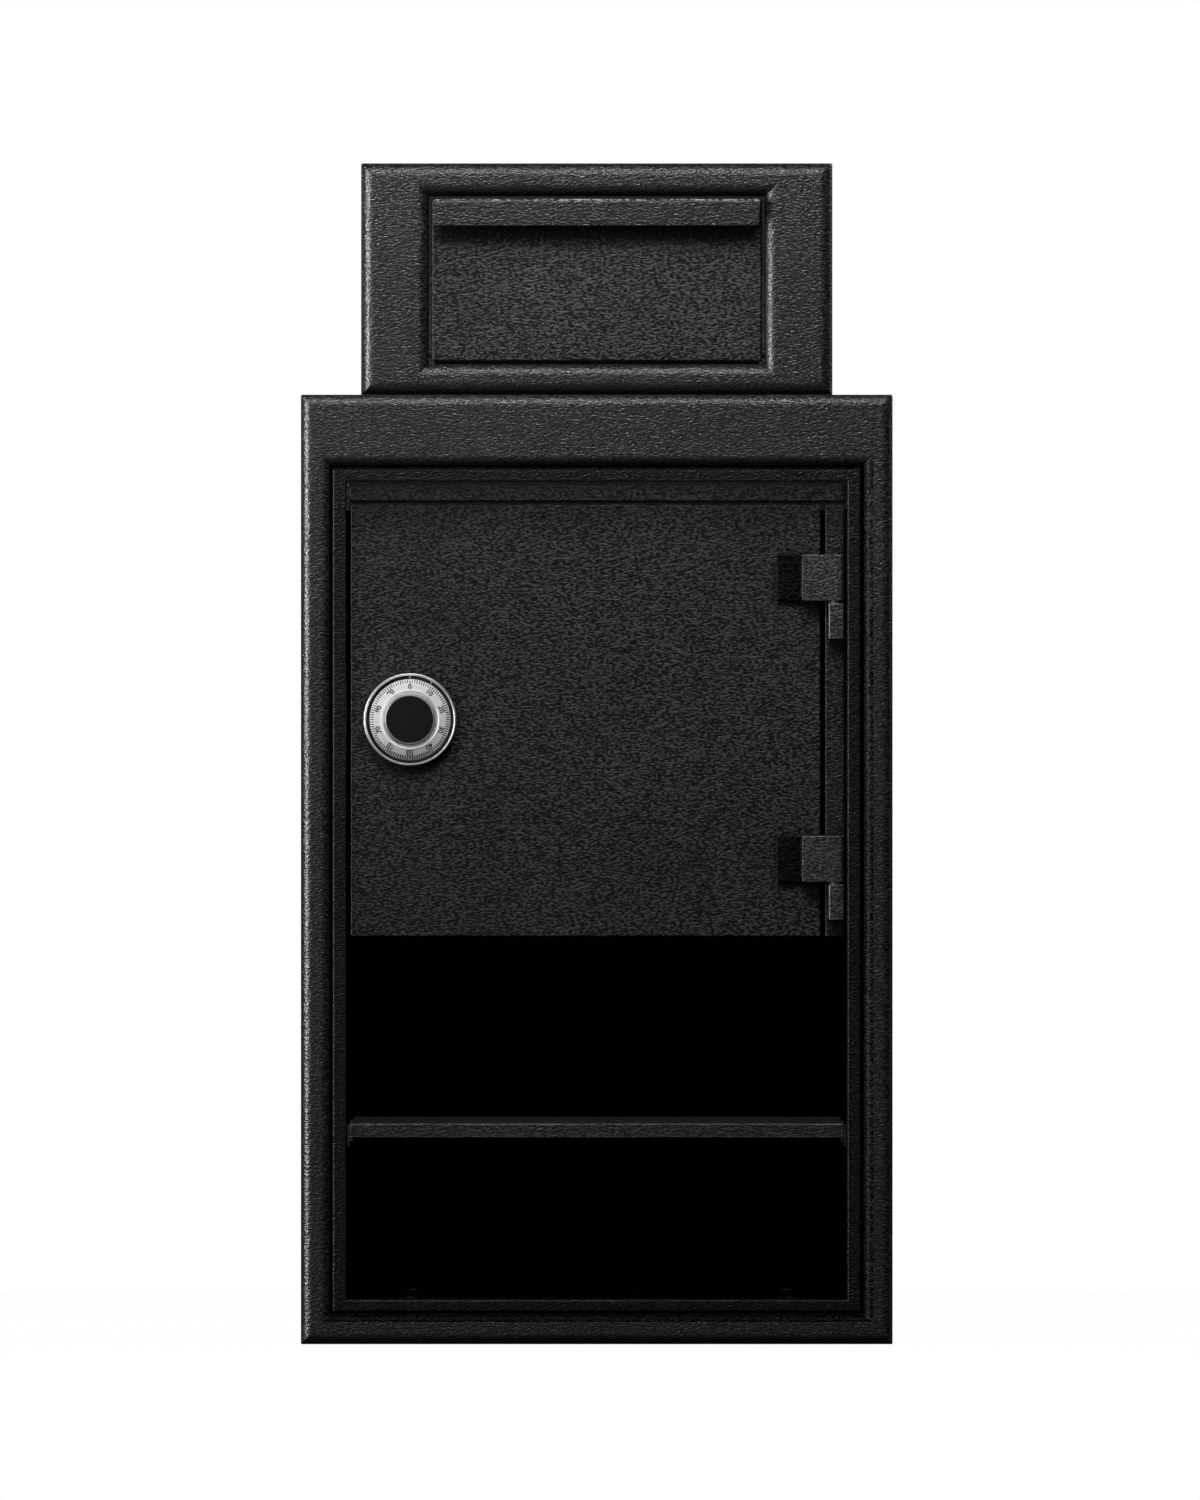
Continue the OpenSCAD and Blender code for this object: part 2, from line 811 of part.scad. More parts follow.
module hopper_back() {
    color(charcoal) block([hopper_t - hopper_x, hopper_rear - hopper_t, body_h + base_t],
        [hopper_x - hopper_t, hopper_rear, hopper_top_z - hopper_t]);
}

module hopper_base() {
    color(charcoal) difference() {
        block([-hopper_x, hopper_front + face_depth, body_h],
            [hopper_x, hopper_rear, body_h + base_t]);
        throat_space(body_h - slack, body_h + base_t + slack);
        hopper_bolt_holes(body_h - slack, body_h + base_t + slack);
    }
}

module hopper_bolts() {
    head_z = body_h + base_t;
    color(zinc) at_hopper_bolts() {
        translate([0, 0, body_h - plate_t]) cylinder(h = plate_t + base_t, r = hopper_bolt_r);
        translate([0, 0, head_z]) cylinder(h = 6.4, r = 9, $fn = 6);
    }
}

module pivot_brackets() {
    color(dark_grey) both_sides() difference() {
        block([bracket_x, pivot_y - bracket_front, body_h + base_t],
            [bracket_x + bracket_t, pivot_y + bracket_rear, bumper_z + bumper_h + 2]);
        bar_x(bracket_x - slack, bracket_x + bracket_t + slack, pivot_y, pivot_z, bushing_r);
    }
}

module pivot_bushings() {
    color(bronze) both_sides() difference() {
        bar_x(bracket_x - 1, bracket_x + bracket_t + 1, pivot_y, pivot_z, bushing_r);
        bar_x(bracket_x - 2, bracket_x + bracket_t + 2, pivot_y, pivot_z, pin_r + running_gap);
    }
}

// Hanging plate that the open drawer's tray meets, so that nothing can be fished out
module anti_fish_baffle() {
    top = hopper_top_z - hopper_t;
    root = pivot_z + 90;
    rear = baffle_y + baffle_t;
    count = 2 * baffle_half / tooth_pitch;
    teeth = [for (i = [0:count - 1], p = [0, 0.5])
        [-baffle_half + (i + p) * tooth_pitch, p == 0 ? root : root - tooth_pitch / 2]];
    color(dark_grey) union() {
        along_y(baffle_y, rear) polygon(concat([[-baffle_half, top]], teeth,
            [[baffle_half, root], [baffle_half, top]]));
        block([-baffle_half, rear, top - baffle_t], [baffle_half, rear + baffle_flange, top]);
    }
}

module closing_bumpers() {
    color(rubber) both_sides()
        block([drawer_x - 2, drawer_front_y + drawer_depth + bumper_gap, bumper_z],
            [bracket_x, pivot_y + 11, bumper_z + bumper_h]);
}

// ---------- deposit drawer ----------

module drawer_front() {
    corner = 3;
    color(charcoal) difference() {
        rolled_block([-drawer_x, drawer_x], [drawer_low, drawer_high], drawer_front_y,
            drawer_front_y + drawer_depth, corner);
        block([drawer_t - drawer_x, drawer_front_y + drawer_t, drawer_low + drawer_t],
            [drawer_x - drawer_t, drawer_front_y + drawer_depth + slack, drawer_high - drawer_t]);
        bar_x(-drawer_x - slack, drawer_x + slack, pivot_y, pivot_z, pin_r);
    }
}

// Pull: a channel whose front flange hangs down with finger room behind it
module drawer_handle() {
    half = drawer_x - 2;
    t = drawer_t;
    bend = 4;
    corner = 5;
    y1 = drawer_front_y;
    y0 = y1 - handle_reach;
    low = drawer_high - handle_drop;
    color(charcoal) intersection() {
        along_x(-half, half) polygon(concat(
            [[y0, low]],
            arc(y0 + bend, drawer_high - bend, bend, 180, 90, 5),
            arc(y1 - bend, drawer_high - bend, bend, 90, 0, 5),
            [[y1, low + 4], [y1 - t, low + 4]],
            arc(y1 - bend, drawer_high - bend, bend - t, 0, 90, 4),
            arc(y0 + bend, drawer_high - bend, bend - t, 90, 180, 4),
            [[y0 + t, low]]));
        along_y(y0 - slack, y1 + slack) polygon(concat(
            arc(corner - half, low + corner, corner, 180, 270, 6),
            arc(half - corner, low + corner, corner, 270, 360, 6),
            [[half, drawer_high + slack], [-half, drawer_high + slack]]));
    }
}

// A point of the tray's profile: a is the distance along the slope, n the height off the tray
function on_tray(a, n) = [fold_gap + a * cos(tray_slope) + n * sin(tray_slope),
    n * cos(tray_slope) - a * sin(tray_slope) - fold_gap];

module drawer_sides() {
    r = 150;
    front = drawer_front_y + drawer_t - pivot_y;
    outline = concat(
        [[front, -fold_gap - tray_t], [front, r]],
        arc(0, 0, r, 90, -25, 20),
        [on_tray(tray_length - 5, tray_edge), on_tray(tray_length - 5, -tray_t),
            on_tray(0, -tray_t)]);
    color(charcoal) both_sides() difference() {
        along_x(tray_x, tray_x + drawer_t) translate([pivot_y, pivot_z]) polygon(outline);
        bar_x(tray_x - slack, tray_x + drawer_t + slack, pivot_y, pivot_z, pin_r);
        bar_x(tray_x - slack, tray_x + drawer_t + slack, stop_y, stop_z, pin_r);
    }
}

// Pivot pins and opening-stop pins, fixed in the drawer's sides
module drawer_pins() {
    color(zinc) both_sides() {
        bar_x(tray_x, bracket_x + bracket_t + 2, pivot_y, pivot_z, pin_r);
        bar_x(tray_x, window_x + hopper_t + 0.5, stop_y, stop_z, pin_r);
    }
}

// Sloping tray with a closing weight under its rear edge
module drawer_tray() {
    front = drawer_front_y + drawer_t - pivot_y;
    under_fold = tray_t * tan(tray_slope / 2);
    sheet = [[front, -fold_gap - tray_t], [front, -fold_gap], on_tray(0, 0),
        on_tray(tray_length, 0), on_tray(tray_length, -tray_t), on_tray(under_fold, -tray_t)];
    weight_rear = tray_length - weight_inset;
    weight_front = weight_rear - weight_d;
    weight = [on_tray(weight_front, -tray_t - weight_t), on_tray(weight_front, -tray_t),
        on_tray(weight_rear, -tray_t), on_tray(weight_rear, -tray_t - weight_t)];
    color(charcoal) translate([0, pivot_y, pivot_z]) union() {
        along_x(-tray_x, tray_x) polygon(sheet);
        along_x(10 - tray_x, tray_x - 10) polygon(weight);
    }
}

front_frame();
body_sides();
body_top();
body_bottom();
body_back();
jamb_frame();
inner_liner();
barrier_panels();
anchor_sleeves();
strike_block();
compartment_header();
hinge_stile();
compartment_floor();
floor_angles();
door_stop();
shelf();
shelf_clips();
throat_liner();
fish_comb();
frame_knuckles();
hinge_pins();
hinge_washers();
inner_door_plate();
hinge_leaves();
hinge_blocks();
dead_bar();
dial_ring();
spindle_tube();
lock_case();
lock_cover();
lock_screws();
wheel_post();
wheel_spacers();
dial();
dial_knob();
knob_cap();
spindle();
drive_cam();
lock_wheel(0);  // lock_wheel_1
lock_wheel(1);  // lock_wheel_2
lock_wheel(2);  // lock_wheel_3
lock_bolt();
lever_screw();
lever();
hopper_face();
hopper_sides();
hopper_top();
hopper_back();
hopper_base();
hopper_bolts();
pivot_brackets();
pivot_bushings();
anti_fish_baffle();
closing_bumpers();
drawer_front();
drawer_handle();
drawer_sides();
drawer_tray();
drawer_pins();
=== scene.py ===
import json
import math

import bmesh
import bpy
from mathutils import Matrix, Vector

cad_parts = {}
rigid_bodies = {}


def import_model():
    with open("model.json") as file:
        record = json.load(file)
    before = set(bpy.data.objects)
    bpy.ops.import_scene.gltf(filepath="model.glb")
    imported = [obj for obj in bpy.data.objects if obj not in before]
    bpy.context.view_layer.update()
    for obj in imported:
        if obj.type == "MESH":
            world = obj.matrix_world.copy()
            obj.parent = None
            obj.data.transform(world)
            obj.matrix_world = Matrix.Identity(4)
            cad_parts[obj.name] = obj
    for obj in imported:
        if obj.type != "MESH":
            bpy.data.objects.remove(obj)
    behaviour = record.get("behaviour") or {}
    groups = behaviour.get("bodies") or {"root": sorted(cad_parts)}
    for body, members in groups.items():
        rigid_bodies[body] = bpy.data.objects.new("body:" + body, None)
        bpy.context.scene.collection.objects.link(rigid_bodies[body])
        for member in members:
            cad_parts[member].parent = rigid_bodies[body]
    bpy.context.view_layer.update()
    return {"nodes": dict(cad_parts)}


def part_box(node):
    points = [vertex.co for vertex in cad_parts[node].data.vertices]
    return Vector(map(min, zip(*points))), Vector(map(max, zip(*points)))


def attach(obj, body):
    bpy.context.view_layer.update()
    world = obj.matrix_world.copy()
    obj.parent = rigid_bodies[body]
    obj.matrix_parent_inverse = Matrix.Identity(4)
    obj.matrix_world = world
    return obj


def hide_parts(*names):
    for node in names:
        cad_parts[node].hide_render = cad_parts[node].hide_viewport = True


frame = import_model()
nodes = frame["nodes"]

MM = 0.001
NOISE_TURN = (0.62, 0.48, 0.33)   # radians; keeps flat faces off the noise's own grid


# ---------- materials ----------

def new_material(name):
    """A node material with its output and a Principled shader, joined."""
    material = bpy.data.materials.new(name)
    material.use_nodes = True
    tree = material.node_tree
    tree.nodes.clear()
    out = tree.nodes.new("ShaderNodeOutputMaterial")
    shader = tree.nodes.new("ShaderNodeBsdfPrincipled")
    tree.links.new(shader.outputs["BSDF"], out.inputs["Surface"])
    return material, tree, shader


def object_noise(tree, scale, detail, roughness=0.5):
    """A noise texture in the object's own coordinates; scale is (x, y, z) features per metre."""
    coords = tree.nodes.new("ShaderNodeTexCoord")
    mapping = tree.nodes.new("ShaderNodeMapping")
    mapping.inputs["Scale"].default_value = scale
    mapping.inputs["Rotation"].default_value = NOISE_TURN
    tree.links.new(coords.outputs["Object"], mapping.inputs["Vector"])
    noise = tree.nodes.new("ShaderNodeTexNoise")
    noise.inputs["Scale"].default_value = 1.0
    noise.inputs["Detail"].default_value = detail
    noise.inputs["Roughness"].default_value = roughness
    tree.links.new(mapping.outputs["Vector"], noise.inputs["Vector"])
    return noise


def ramp(tree, source, stops):
    """A colour ramp from stops of (position, grey level or colour)."""
    node = tree.nodes.new("ShaderNodeValToRGB")
    elements = node.color_ramp.elements
    while len(elements) > len(stops):
        elements.remove(elements[-1])
    while len(elements) < len(stops):
        elements.new(0.5)
    for element, (position, level) in zip(elements, stops):
        element.position = position
        colour = level if isinstance(level, tuple) else (level, level, level)
        element.color = (*colour, 1.0)
    tree.links.new(source, node.inputs["Fac"])
    return node


def multiply(tree, a, b):
    """The product of two colours."""
    node = tree.nodes.new("ShaderNodeMix")
    node.data_type = "RGBA"
    node.blend_type = "MULTIPLY"
    node.inputs["Factor"].default_value = 1.0
    tree.links.new(a, node.inputs["A"])
    tree.links.new(b, node.inputs["B"])
    return node.outputs["Result"]


def bump(tree, height, strength, distance, under=None):
    """Relief from a height map, on top of the relief under it."""
    node = tree.nodes.new("ShaderNodeBump")
    node.inputs["Strength"].default_value = strength
    node.inputs["Distance"].default_value = distance
    tree.links.new(height, node.inputs["Height"])
    if under is not None:
        tree.links.new(under.outputs["Normal"], node.inputs["Normal"])
    return node


def edge_mask(tree, radius, full):
    """1 on edges, where rubbed patches and painted highlights go, 0 on flat faces: how far the
    bevelled normal turns from the true one.

    The mask is 1 where the cosine between the two is full or less."""
    bevel = tree.nodes.new("ShaderNodeBevel")
    bevel.samples = 4
    bevel.inputs["Radius"].default_value = radius
    geometry = tree.nodes.new("ShaderNodeNewGeometry")
    dot = tree.nodes.new("ShaderNodeVectorMath")
    dot.operation = "DOT_PRODUCT"
    tree.links.new(bevel.outputs["Normal"], dot.inputs[0])
    tree.links.new(geometry.outputs["Normal"], dot.inputs[1])
    return ramp(tree, dot.outputs["Value"], [(full, 1.0), (0.985, 0.0)])


def rubbed_edges(tree, colour, wear_and_highlight, width, grey, whole):
    """Lightens a colour along the edges: in rubbed patches, and if whole is set along the whole
    edge as well, a painted highlight.
    """
    edge = edge_mask(tree, width, 0.90 if whole else 0.80)
    rub = object_noise(tree, (60, 60, 60), 3.0, 0.6)
    whole_edge_highlight = wear_and_highlight * 0.5 if whole else 0.0
    patch = ramp(tree, rub.outputs["Fac"], [(0.42, whole_edge_highlight), (0.66, wear_and_highlight)])
    mix = tree.nodes.new("ShaderNodeMix")
    mix.data_type = "RGBA"
    tree.links.new(multiply(tree, edge.outputs["Color"], patch.outputs["Color"]),
                   mix.inputs["Factor"])
    tree.links.new(colour, mix.inputs["A"])
    mix.inputs["B"].default_value = (grey, grey, grey, 1.0)
    return mix.outputs["Result"]


def crevice(tree, colour, reach, stops):
    """Darkens a colour with painted shade in gaps and under lips, by how hidden each point is
    within the reach.
    """
    shade = tree.nodes.new("ShaderNodeAmbientOcclusion")
    shade.samples = 8
    shade.inputs["Distance"].default_value = reach
    tone = ramp(tree, shade.outputs["AO"], stops)
    return multiply(tree, colour, tone.outputs["Color"])


def powder_coat(name, grey, relief=0.46, rough=0.34, gloss=0.5, wear_and_highlight=0.5, shade=None,
                edge_width=1.2 * MM, edge_highlight_grey=None):
    """Dark wrinkle-finish powder coat: a fine leathery grain, blotches, rubbed edges, painted
    shade.

    A coat given an edge grey is lightened to it along all its edges: a painted highlight over the
    rubbed patches. shade is the reach of the painted shade in gaps and under lips, and its tone
    stops."""
    material, tree, shader = new_material(name)
    grain = object_noise(tree, (270, 270, 560), 1.4, 0.5)
    blotch = object_noise(tree, (9, 9, 9), 3.0)
    tone = ramp(tree, grain.outputs["Fac"],
                [(0.42, grey * 0.08), (0.50, grey * 0.78), (0.59, grey * 3.0)])
    cloud = ramp(tree, blotch.outputs["Fac"], [(0.30, 0.86), (0.70, 1.12)])
    colour = multiply(tree, tone.outputs["Color"], cloud.outputs["Color"])
    # Edges lightened in rubbed patches; a coat given an edge grey also gets a painted highlight
    # along every edge.
    if wear_and_highlight:
        colour = rubbed_edges(tree, colour, wear_and_highlight, edge_width, edge_highlight_grey or grey * 4 + 0.02,
                              edge_highlight_grey is not None)
    # Painted shade: darker in gaps and under lips, by how hidden each point is.
    reach, stops = shade or (14 * MM, [(0.25, 0.08), (0.62, 0.5), (0.95, 1.0)])
    colour = crevice(tree, colour, reach, stops)
    tree.links.new(colour, shader.inputs["Base Color"])
    gloss_map = ramp(tree, grain.outputs["Fac"], [(0.3, rough + 0.12), (0.7, rough - 0.08)])
    tree.links.new(gloss_map.outputs["Color"], shader.inputs["Roughness"])
    shader.inputs["Specular IOR Level"].default_value = gloss
    fine = object_noise(tree, (900, 900, 1100), 2.0)
    low = bump(tree, fine.outputs["Fac"], relief * 0.4, 0.15 * MM)
    high = bump(tree, grain.outputs["Fac"], relief, 2.5 * MM, low)
    tree.links.new(high.outputs["Normal"], shader.inputs["Normal"])
    return material


def flat_paint(name, grey, rough, gloss):
    """Flat black paint with a faint orange-peel surface and dust."""
    material, tree, shader = new_material(name)
    peel = object_noise(tree, (160, 160, 160), 2.0)
    tone = ramp(tree, peel.outputs["Fac"], [(0.3, grey * 0.8), (0.7, grey * 1.2)])
    tree.links.new(tone.outputs["Color"], shader.inputs["Base Color"])
    shade = ramp(tree, peel.outputs["Fac"], [(0.3, rough - 0.08), (0.7, rough + 0.08)])
    tree.links.new(shade.outputs["Color"], shader.inputs["Roughness"])
    shader.inputs["Specular IOR Level"].default_value = gloss
    relief = bump(tree, peel.outputs["Fac"], 0.2, 0.4 * MM)
    tree.links.new(relief.outputs["Normal"], shader.inputs["Normal"])
    return material


def metal(name, colour, rough, relief=0.15):
    """Machined or plated metal with brush lines and a little tarnish."""
    material, tree, shader = new_material(name)
    lines = object_noise(tree, (40, 900, 900), 3.0, 0.6)
    stain = object_noise(tree, (70, 70, 70), 3.0)
    dark = tuple(c * 0.78 for c in colour)
    tone = ramp(tree, stain.outputs["Fac"], [(0.30, dark), (0.62, tuple(colour))])
    streak = ramp(tree, lines.outputs["Fac"], [(0.3, 0.86), (0.7, 1.0)])
    tree.links.new(multiply(tree, tone.outputs["Color"], streak.outputs["Color"]),
                   shader.inputs["Base Color"])
    shade = ramp(tree, lines.outputs["Fac"], [(0.3, rough + 0.08), (0.7, rough - 0.06)])
    tree.links.new(shade.outputs["Color"], shader.inputs["Roughness"])
    shader.inputs["Metallic"].default_value = 1.0
    scratch = bump(tree, lines.outputs["Fac"], relief, 0.2 * MM)
    tree.links.new(scratch.outputs["Normal"], shader.inputs["Normal"])
    return material


def plain(name, grey, rough, gloss=0.3, noise=400):
    """Moulded plastic, rubber or ink with a fine surface."""
    material, tree, shader = new_material(name)
    colour = grey if isinstance(grey, tuple) else (grey, grey, grey)
    grain = object_noise(tree, (noise, noise, noise), 2.0)
    tone = ramp(tree, grain.outputs["Fac"],
                [(0.3, tuple(c * 0.85 for c in colour)), (0.7, tuple(c * 1.15 for c in colour))])
    tree.links.new(tone.outputs["Color"], shader.inputs["Base Color"])
    shade = ramp(tree, grain.outputs["Fac"], [(0.3, rough - 0.05), (0.7, rough + 0.05)])
    tree.links.new(shade.outputs["Color"], shader.inputs["Roughness"])
    shader.inputs["Specular IOR Level"].default_value = gloss
    relief = bump(tree, grain.outputs["Fac"], 0.15, 0.2 * MM)
    tree.links.new(relief.outputs["Normal"], shader.inputs["Normal"])
    return material


def turned_silver(name, level, rough, metallic, ring_scale=1500):
    """Turned, satin-plated metal: fine rings round the piece's own axis."""
    material, tree, shader = new_material(name)
    coords = tree.nodes.new("ShaderNodeTexCoord")
    apart = tree.nodes.new("ShaderNodeSeparateXYZ")
    tree.links.new(coords.outputs["Object"], apart.inputs["Vector"])
    flat = tree.nodes.new("ShaderNodeCombineXYZ")
    tree.links.new(apart.outputs["X"], flat.inputs["X"])
    tree.links.new(apart.outputs["Z"], flat.inputs["Y"])
    length = tree.nodes.new("ShaderNodeVectorMath")
    length.operation = "LENGTH"
    tree.links.new(flat.outputs["Vector"], length.inputs[0])
    rings = tree.nodes.new("ShaderNodeTexNoise")
    rings.noise_dimensions = "1D"
    rings.inputs["Scale"].default_value = ring_scale
    rings.inputs["Detail"].default_value = 2.0
    tree.links.new(length.outputs["Value"], rings.inputs["W"])
    tone = ramp(tree, rings.outputs["Fac"], [(0.3, level * 0.88), (0.7, level)])
    tree.links.new(tone.outputs["Color"], shader.inputs["Base Color"])
    shade = ramp(tree, rings.outputs["Fac"], [(0.3, rough + 0.06), (0.7, rough - 0.05)])
    tree.links.new(shade.outputs["Color"], shader.inputs["Roughness"])
    shader.inputs["Metallic"].default_value = metallic
    groove = bump(tree, rings.outputs["Fac"], 0.12, 0.1 * MM)
    tree.links.new(groove.outputs["Normal"], shader.inputs["Normal"])
    return material


# Copies of one coat, their greys differing piece by piece to set each piece's brightness: partly
# painted light and shade.
coat_hopper = powder_coat("coat_hopper", 0.0100)
# The drawer's coat darkens deeply under the pull's lip, a painted shadow, and is lightened along
# all edges, a painted highlight.
coat_drawer = powder_coat("coat_drawer", 0.0232, relief=0.5, gloss=0.2, edge_highlight_grey=0.10,
                          shade=(42 * MM, [(0.40, 0.02), (0.72, 0.40), (0.95, 1.0)]))
coat_body = powder_coat("coat_body", 0.0114)
coat_door = powder_coat("coat_door", 0.0188, relief=0.5, gloss=0.18)
coat_header = powder_coat("coat_header", 0.0195, relief=0.5, gloss=0.2, wear_and_highlight=0.6)
# This coat and the stile, shelf and hinge coats below are lightened along all edges: painted
# highlights over rubbed patches.
coat_jamb = powder_coat("coat_jamb", 0.0050, gloss=0.2, wear_and_highlight=1.0, edge_width=1.6 * MM,
                        edge_highlight_grey=0.07)
coat_stile = powder_coat("coat_stile", 0.0112, relief=0.5, gloss=0.25, wear_and_highlight=0.8, edge_highlight_grey=0.06)
coat_pull = powder_coat("coat_pull", 0.0078)
# A much lighter copy of the coat for the pull's top fold: a painted highlight.
coat_pull_highlight = powder_coat("coat_pull_highlight", 0.10, relief=0.25, wear_and_highlight=0.0)
# A darker, duller copy of the body coat: painted shade on the right roll inside the opening.
coat_shaded_lip = powder_coat("coat_shaded_lip", 0.012, gloss=0.05)
coat_shelf = powder_coat("coat_shelf", 0.0150, relief=0.5, gloss=0.4, wear_and_highlight=1.0,
                         edge_width=1.8 * MM, edge_highlight_grey=0.3)
# A near-black copy of the coat: painted shade on the sill roll inside the opening.
coat_shaded_sill = powder_coat("coat_shaded_sill", 0.0016, gloss=0.03, wear_and_highlight=0.0)
coat_hinge = powder_coat("coat_hinge", 0.022, wear_and_highlight=1.0, edge_width=1.8 * MM, edge_highlight_grey=0.22)
coat_leaf = powder_coat("coat_leaf", 0.0035, gloss=0.06, wear_and_highlight=0.2)
# The liner's black, deepened far below real paint into painted shade for the deep inside and the
# gaps.
liner_black_and_shade = flat_paint("liner_black_and_shade", 0.0008, 0.9, 0.0)
black_satin = flat_paint("black_satin", 0.010, 0.6, 0.15)
zinc = metal("zinc", (0.55, 0.56, 0.57), 0.38, relief=0.08)
brass = metal("brass", (0.70, 0.53, 0.24), 0.34, relief=0.04)
# Steel and bronze darkened far below their own colour: painted shade for the gaps where they show.
bronze_in_painted_shade = metal("bronze_in_painted_shade", (0.020, 0.014, 0.008), 0.6)
steel_in_painted_shade = metal("steel_in_painted_shade", (0.03, 0.03, 0.03), 0.55)
fill = plain("barrier_fill", (0.40, 0.39, 0.36), 0.9, 0.2, 120)
rubber = plain("rubber", 0.016, 0.8, 0.2)
cap_black = plain("cap_black", 0.004, 0.6, 0.1, 700)
ink_black = plain("ink_black", 0.006, 0.6, 0.2)
ink_white = plain("ink_white", 0.75, 0.6, 0.2)
silver = turned_silver("silver_dial", 0.76, 0.45, 0.2)
bright_silver = turned_silver("bright_silver", 0.64, 0.30, 0.7, 900)


# ---------- mesh helpers ----------

def finish_mesh(name, verts, faces, material, body, cad=(), centre=None, sharp=35.0,
                bevel=0.0, bevel_segments=2):
    """Makes one piece: softens or marks its sharp edges, and hangs it on its body.

    sharp is the angle in degrees from which an edge counts as sharp."""
    origin = Vector(centre) if centre is not None else Vector((0, 0, 0))
    mesh = bpy.data.meshes.new(name)
    mesh.from_pydata([Vector(v) - origin for v in verts], [], faces)
    mesh.validate()
    bm = bmesh.new()
    bm.from_mesh(mesh)
    bmesh.ops.remove_doubles(bm, verts=bm.verts, dist=1e-7)
    bmesh.ops.recalc_face_normals(bm, faces=bm.faces)
    if bevel:
        edges = [e for e in bm.edges
                 if len(e.link_faces) == 2 and e.calc_face_angle(0) > math.radians(sharp)]
        bmesh.ops.bevel(bm, geom=edges, offset=bevel, segments=bevel_segments, profile=0.5,
                        affect="EDGES", clamp_overlap=True)
    for face in bm.faces:
        face.smooth = True
    for edge in bm.edges:
        if len(edge.link_faces) == 2 and edge.calc_face_angle(0) > math.radians(sharp):
            edge.smooth = False
    bm.to_mesh(mesh)
    bm.free()
    mesh.materials.append(material)
    piece = bpy.data.objects.new(name, mesh)
    piece.location = origin
    bpy.context.scene.collection.objects.link(piece)
    weighted = piece.modifiers.new("weighted", "WEIGHTED_NORMAL")
    weighted.keep_sharp = True
    weighted.weight = 80
    bpy.context.view_layer.update()
    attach(piece, body)
    if cad:
        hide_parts(*cad)
    return piece


def join_loops(loops, closed_ring=True):
    """Quads between loops of equal length; closed_ring also joins the last loop to the first."""
    verts = [v for loop in loops for v in loop]
    n = len(loops[0])
    count = len(loops)
    faces = []
    for i in range(count if closed_ring else count - 1):
        a, b = i * n, ((i + 1) % count) * n
        for k in range(n):
            m = (k + 1) % n
            faces.append((a + k, a + m, b + m, b + k))
    return verts, faces


def join_capped(loops):
    """Quads between loops, and a face over the first loop and over the last."""
    verts, faces = join_loops(loops, False)
    n = len(loops[0])
    faces.append(tuple(range(n)))
    faces.append(tuple(range(len(verts) - 1, len(verts) - n - 1, -1)))
    return verts, faces


def arc(cx, cy, radius, start, end, steps):
    """Points along an arc, from the start angle to the end angle in degrees."""
    angles = [math.radians(start + (end - start) * i / steps) for i in range(steps + 1)]
    return [(cx + radius * math.cos(a), cy + radius * math.sin(a)) for a in angles]


def quarter_roll(radius, steps):
    """Steps round a rolled edge, side to face, as (distance in from the side, depth)."""
    angles = [math.radians(90 * i / steps) for i in range(steps + 1)]
    return [(radius * (1 - math.cos(a)), radius * (1 - math.sin(a))) for a in angles]


def rectangle(x0, x1, z0, z1, y, corner):
    """A rectangle's loop in an XZ plane, with small rounded corners."""
    points = []
    for cx, cz, start in ((x1 - corner, z1 - corner, 0), (x0 + corner, z1 - corner, 90),
                          (x0 + corner, z0 + corner, 180), (x1 - corner, z0 + corner, 270)):
        points += [(x, y, z) for x, z in arc(cx, cz, corner, start, start + 90, 4)]
    return points


def rolled_frame(name, outer, opening, y_front, y_back, roll, window_roll, lip_back, wall,
                 material, cad):
    """A formed front with a rolled outer edge and an opening whose edge rolls inwards."""
    x0, x1, z0, z1 = outer
    u0, u1, w0, w1 = opening
    arc_steps = 14
    flat_start = 0.6 * MM
    corner = 1.2 * MM
    inside = y_front + max(window_roll, roll) - 1 * MM
    loops = []

    def out(inset, y):
        loops.append(rectangle(x0 + inset, x1 - inset, z0 + inset, z1 - inset, y, corner))

    def inner(grow, y):
        loops.append(rectangle(u0 - grow, u1 + grow, w0 - grow, w1 + grow, y, corner * 0.5))

    out(wall, y_back)
    out(0, y_back)
    out(0, y_front + roll + 2 * MM)
    for inset, depth in quarter_roll(roll, arc_steps):
        out(inset, y_front + depth)
    out(roll + flat_start, y_front)
    inner(window_roll + flat_start, y_front)
    for inset, depth in reversed(quarter_roll(window_roll, arc_steps)):
        inner(inset, y_front + depth)
    inner(0, lip_back)
    inner(wall, lip_back)
    inner(wall, inside)
    out(wall, inside)
    verts, faces = join_loops(loops)
    return finish_mesh(name, verts, faces, material, "cabinet", cad, sharp=30.0)


def prism(name, outline, axis, a, b, material, body, cad, bevel, segments=2):
    """An outline of 2D points pushed along the Y or Z axis from a to b, with bevelled edges."""
    place = {"y": lambda p, t: (p[0], t, p[1]), "z": lambda p, t: (p[0], p[1], t)}[axis]
    n = len(outline)
    verts = [place(p, a) for p in outline] + [place(p, b) for p in outline]
    faces = [tuple(range(n)), tuple(range(2 * n - 1, n - 1, -1))]
    faces += [(k, (k + 1) % n, n + (k + 1) % n, n + k) for k in range(n)]
    finish_mesh(name, verts, faces, material, body, cad, bevel=bevel,
                bevel_segments=segments)


def slab(name, low, high, material, body, cad, bevel):
    """A plate or bar with softened edges between two corners."""
    outline = [(low[0], low[2]), (high[0], low[2]), (high[0], high[2]), (low[0], high[2])]
    prism(name, outline, "y", low[1], high[1], material, body, cad, bevel, segments=3)


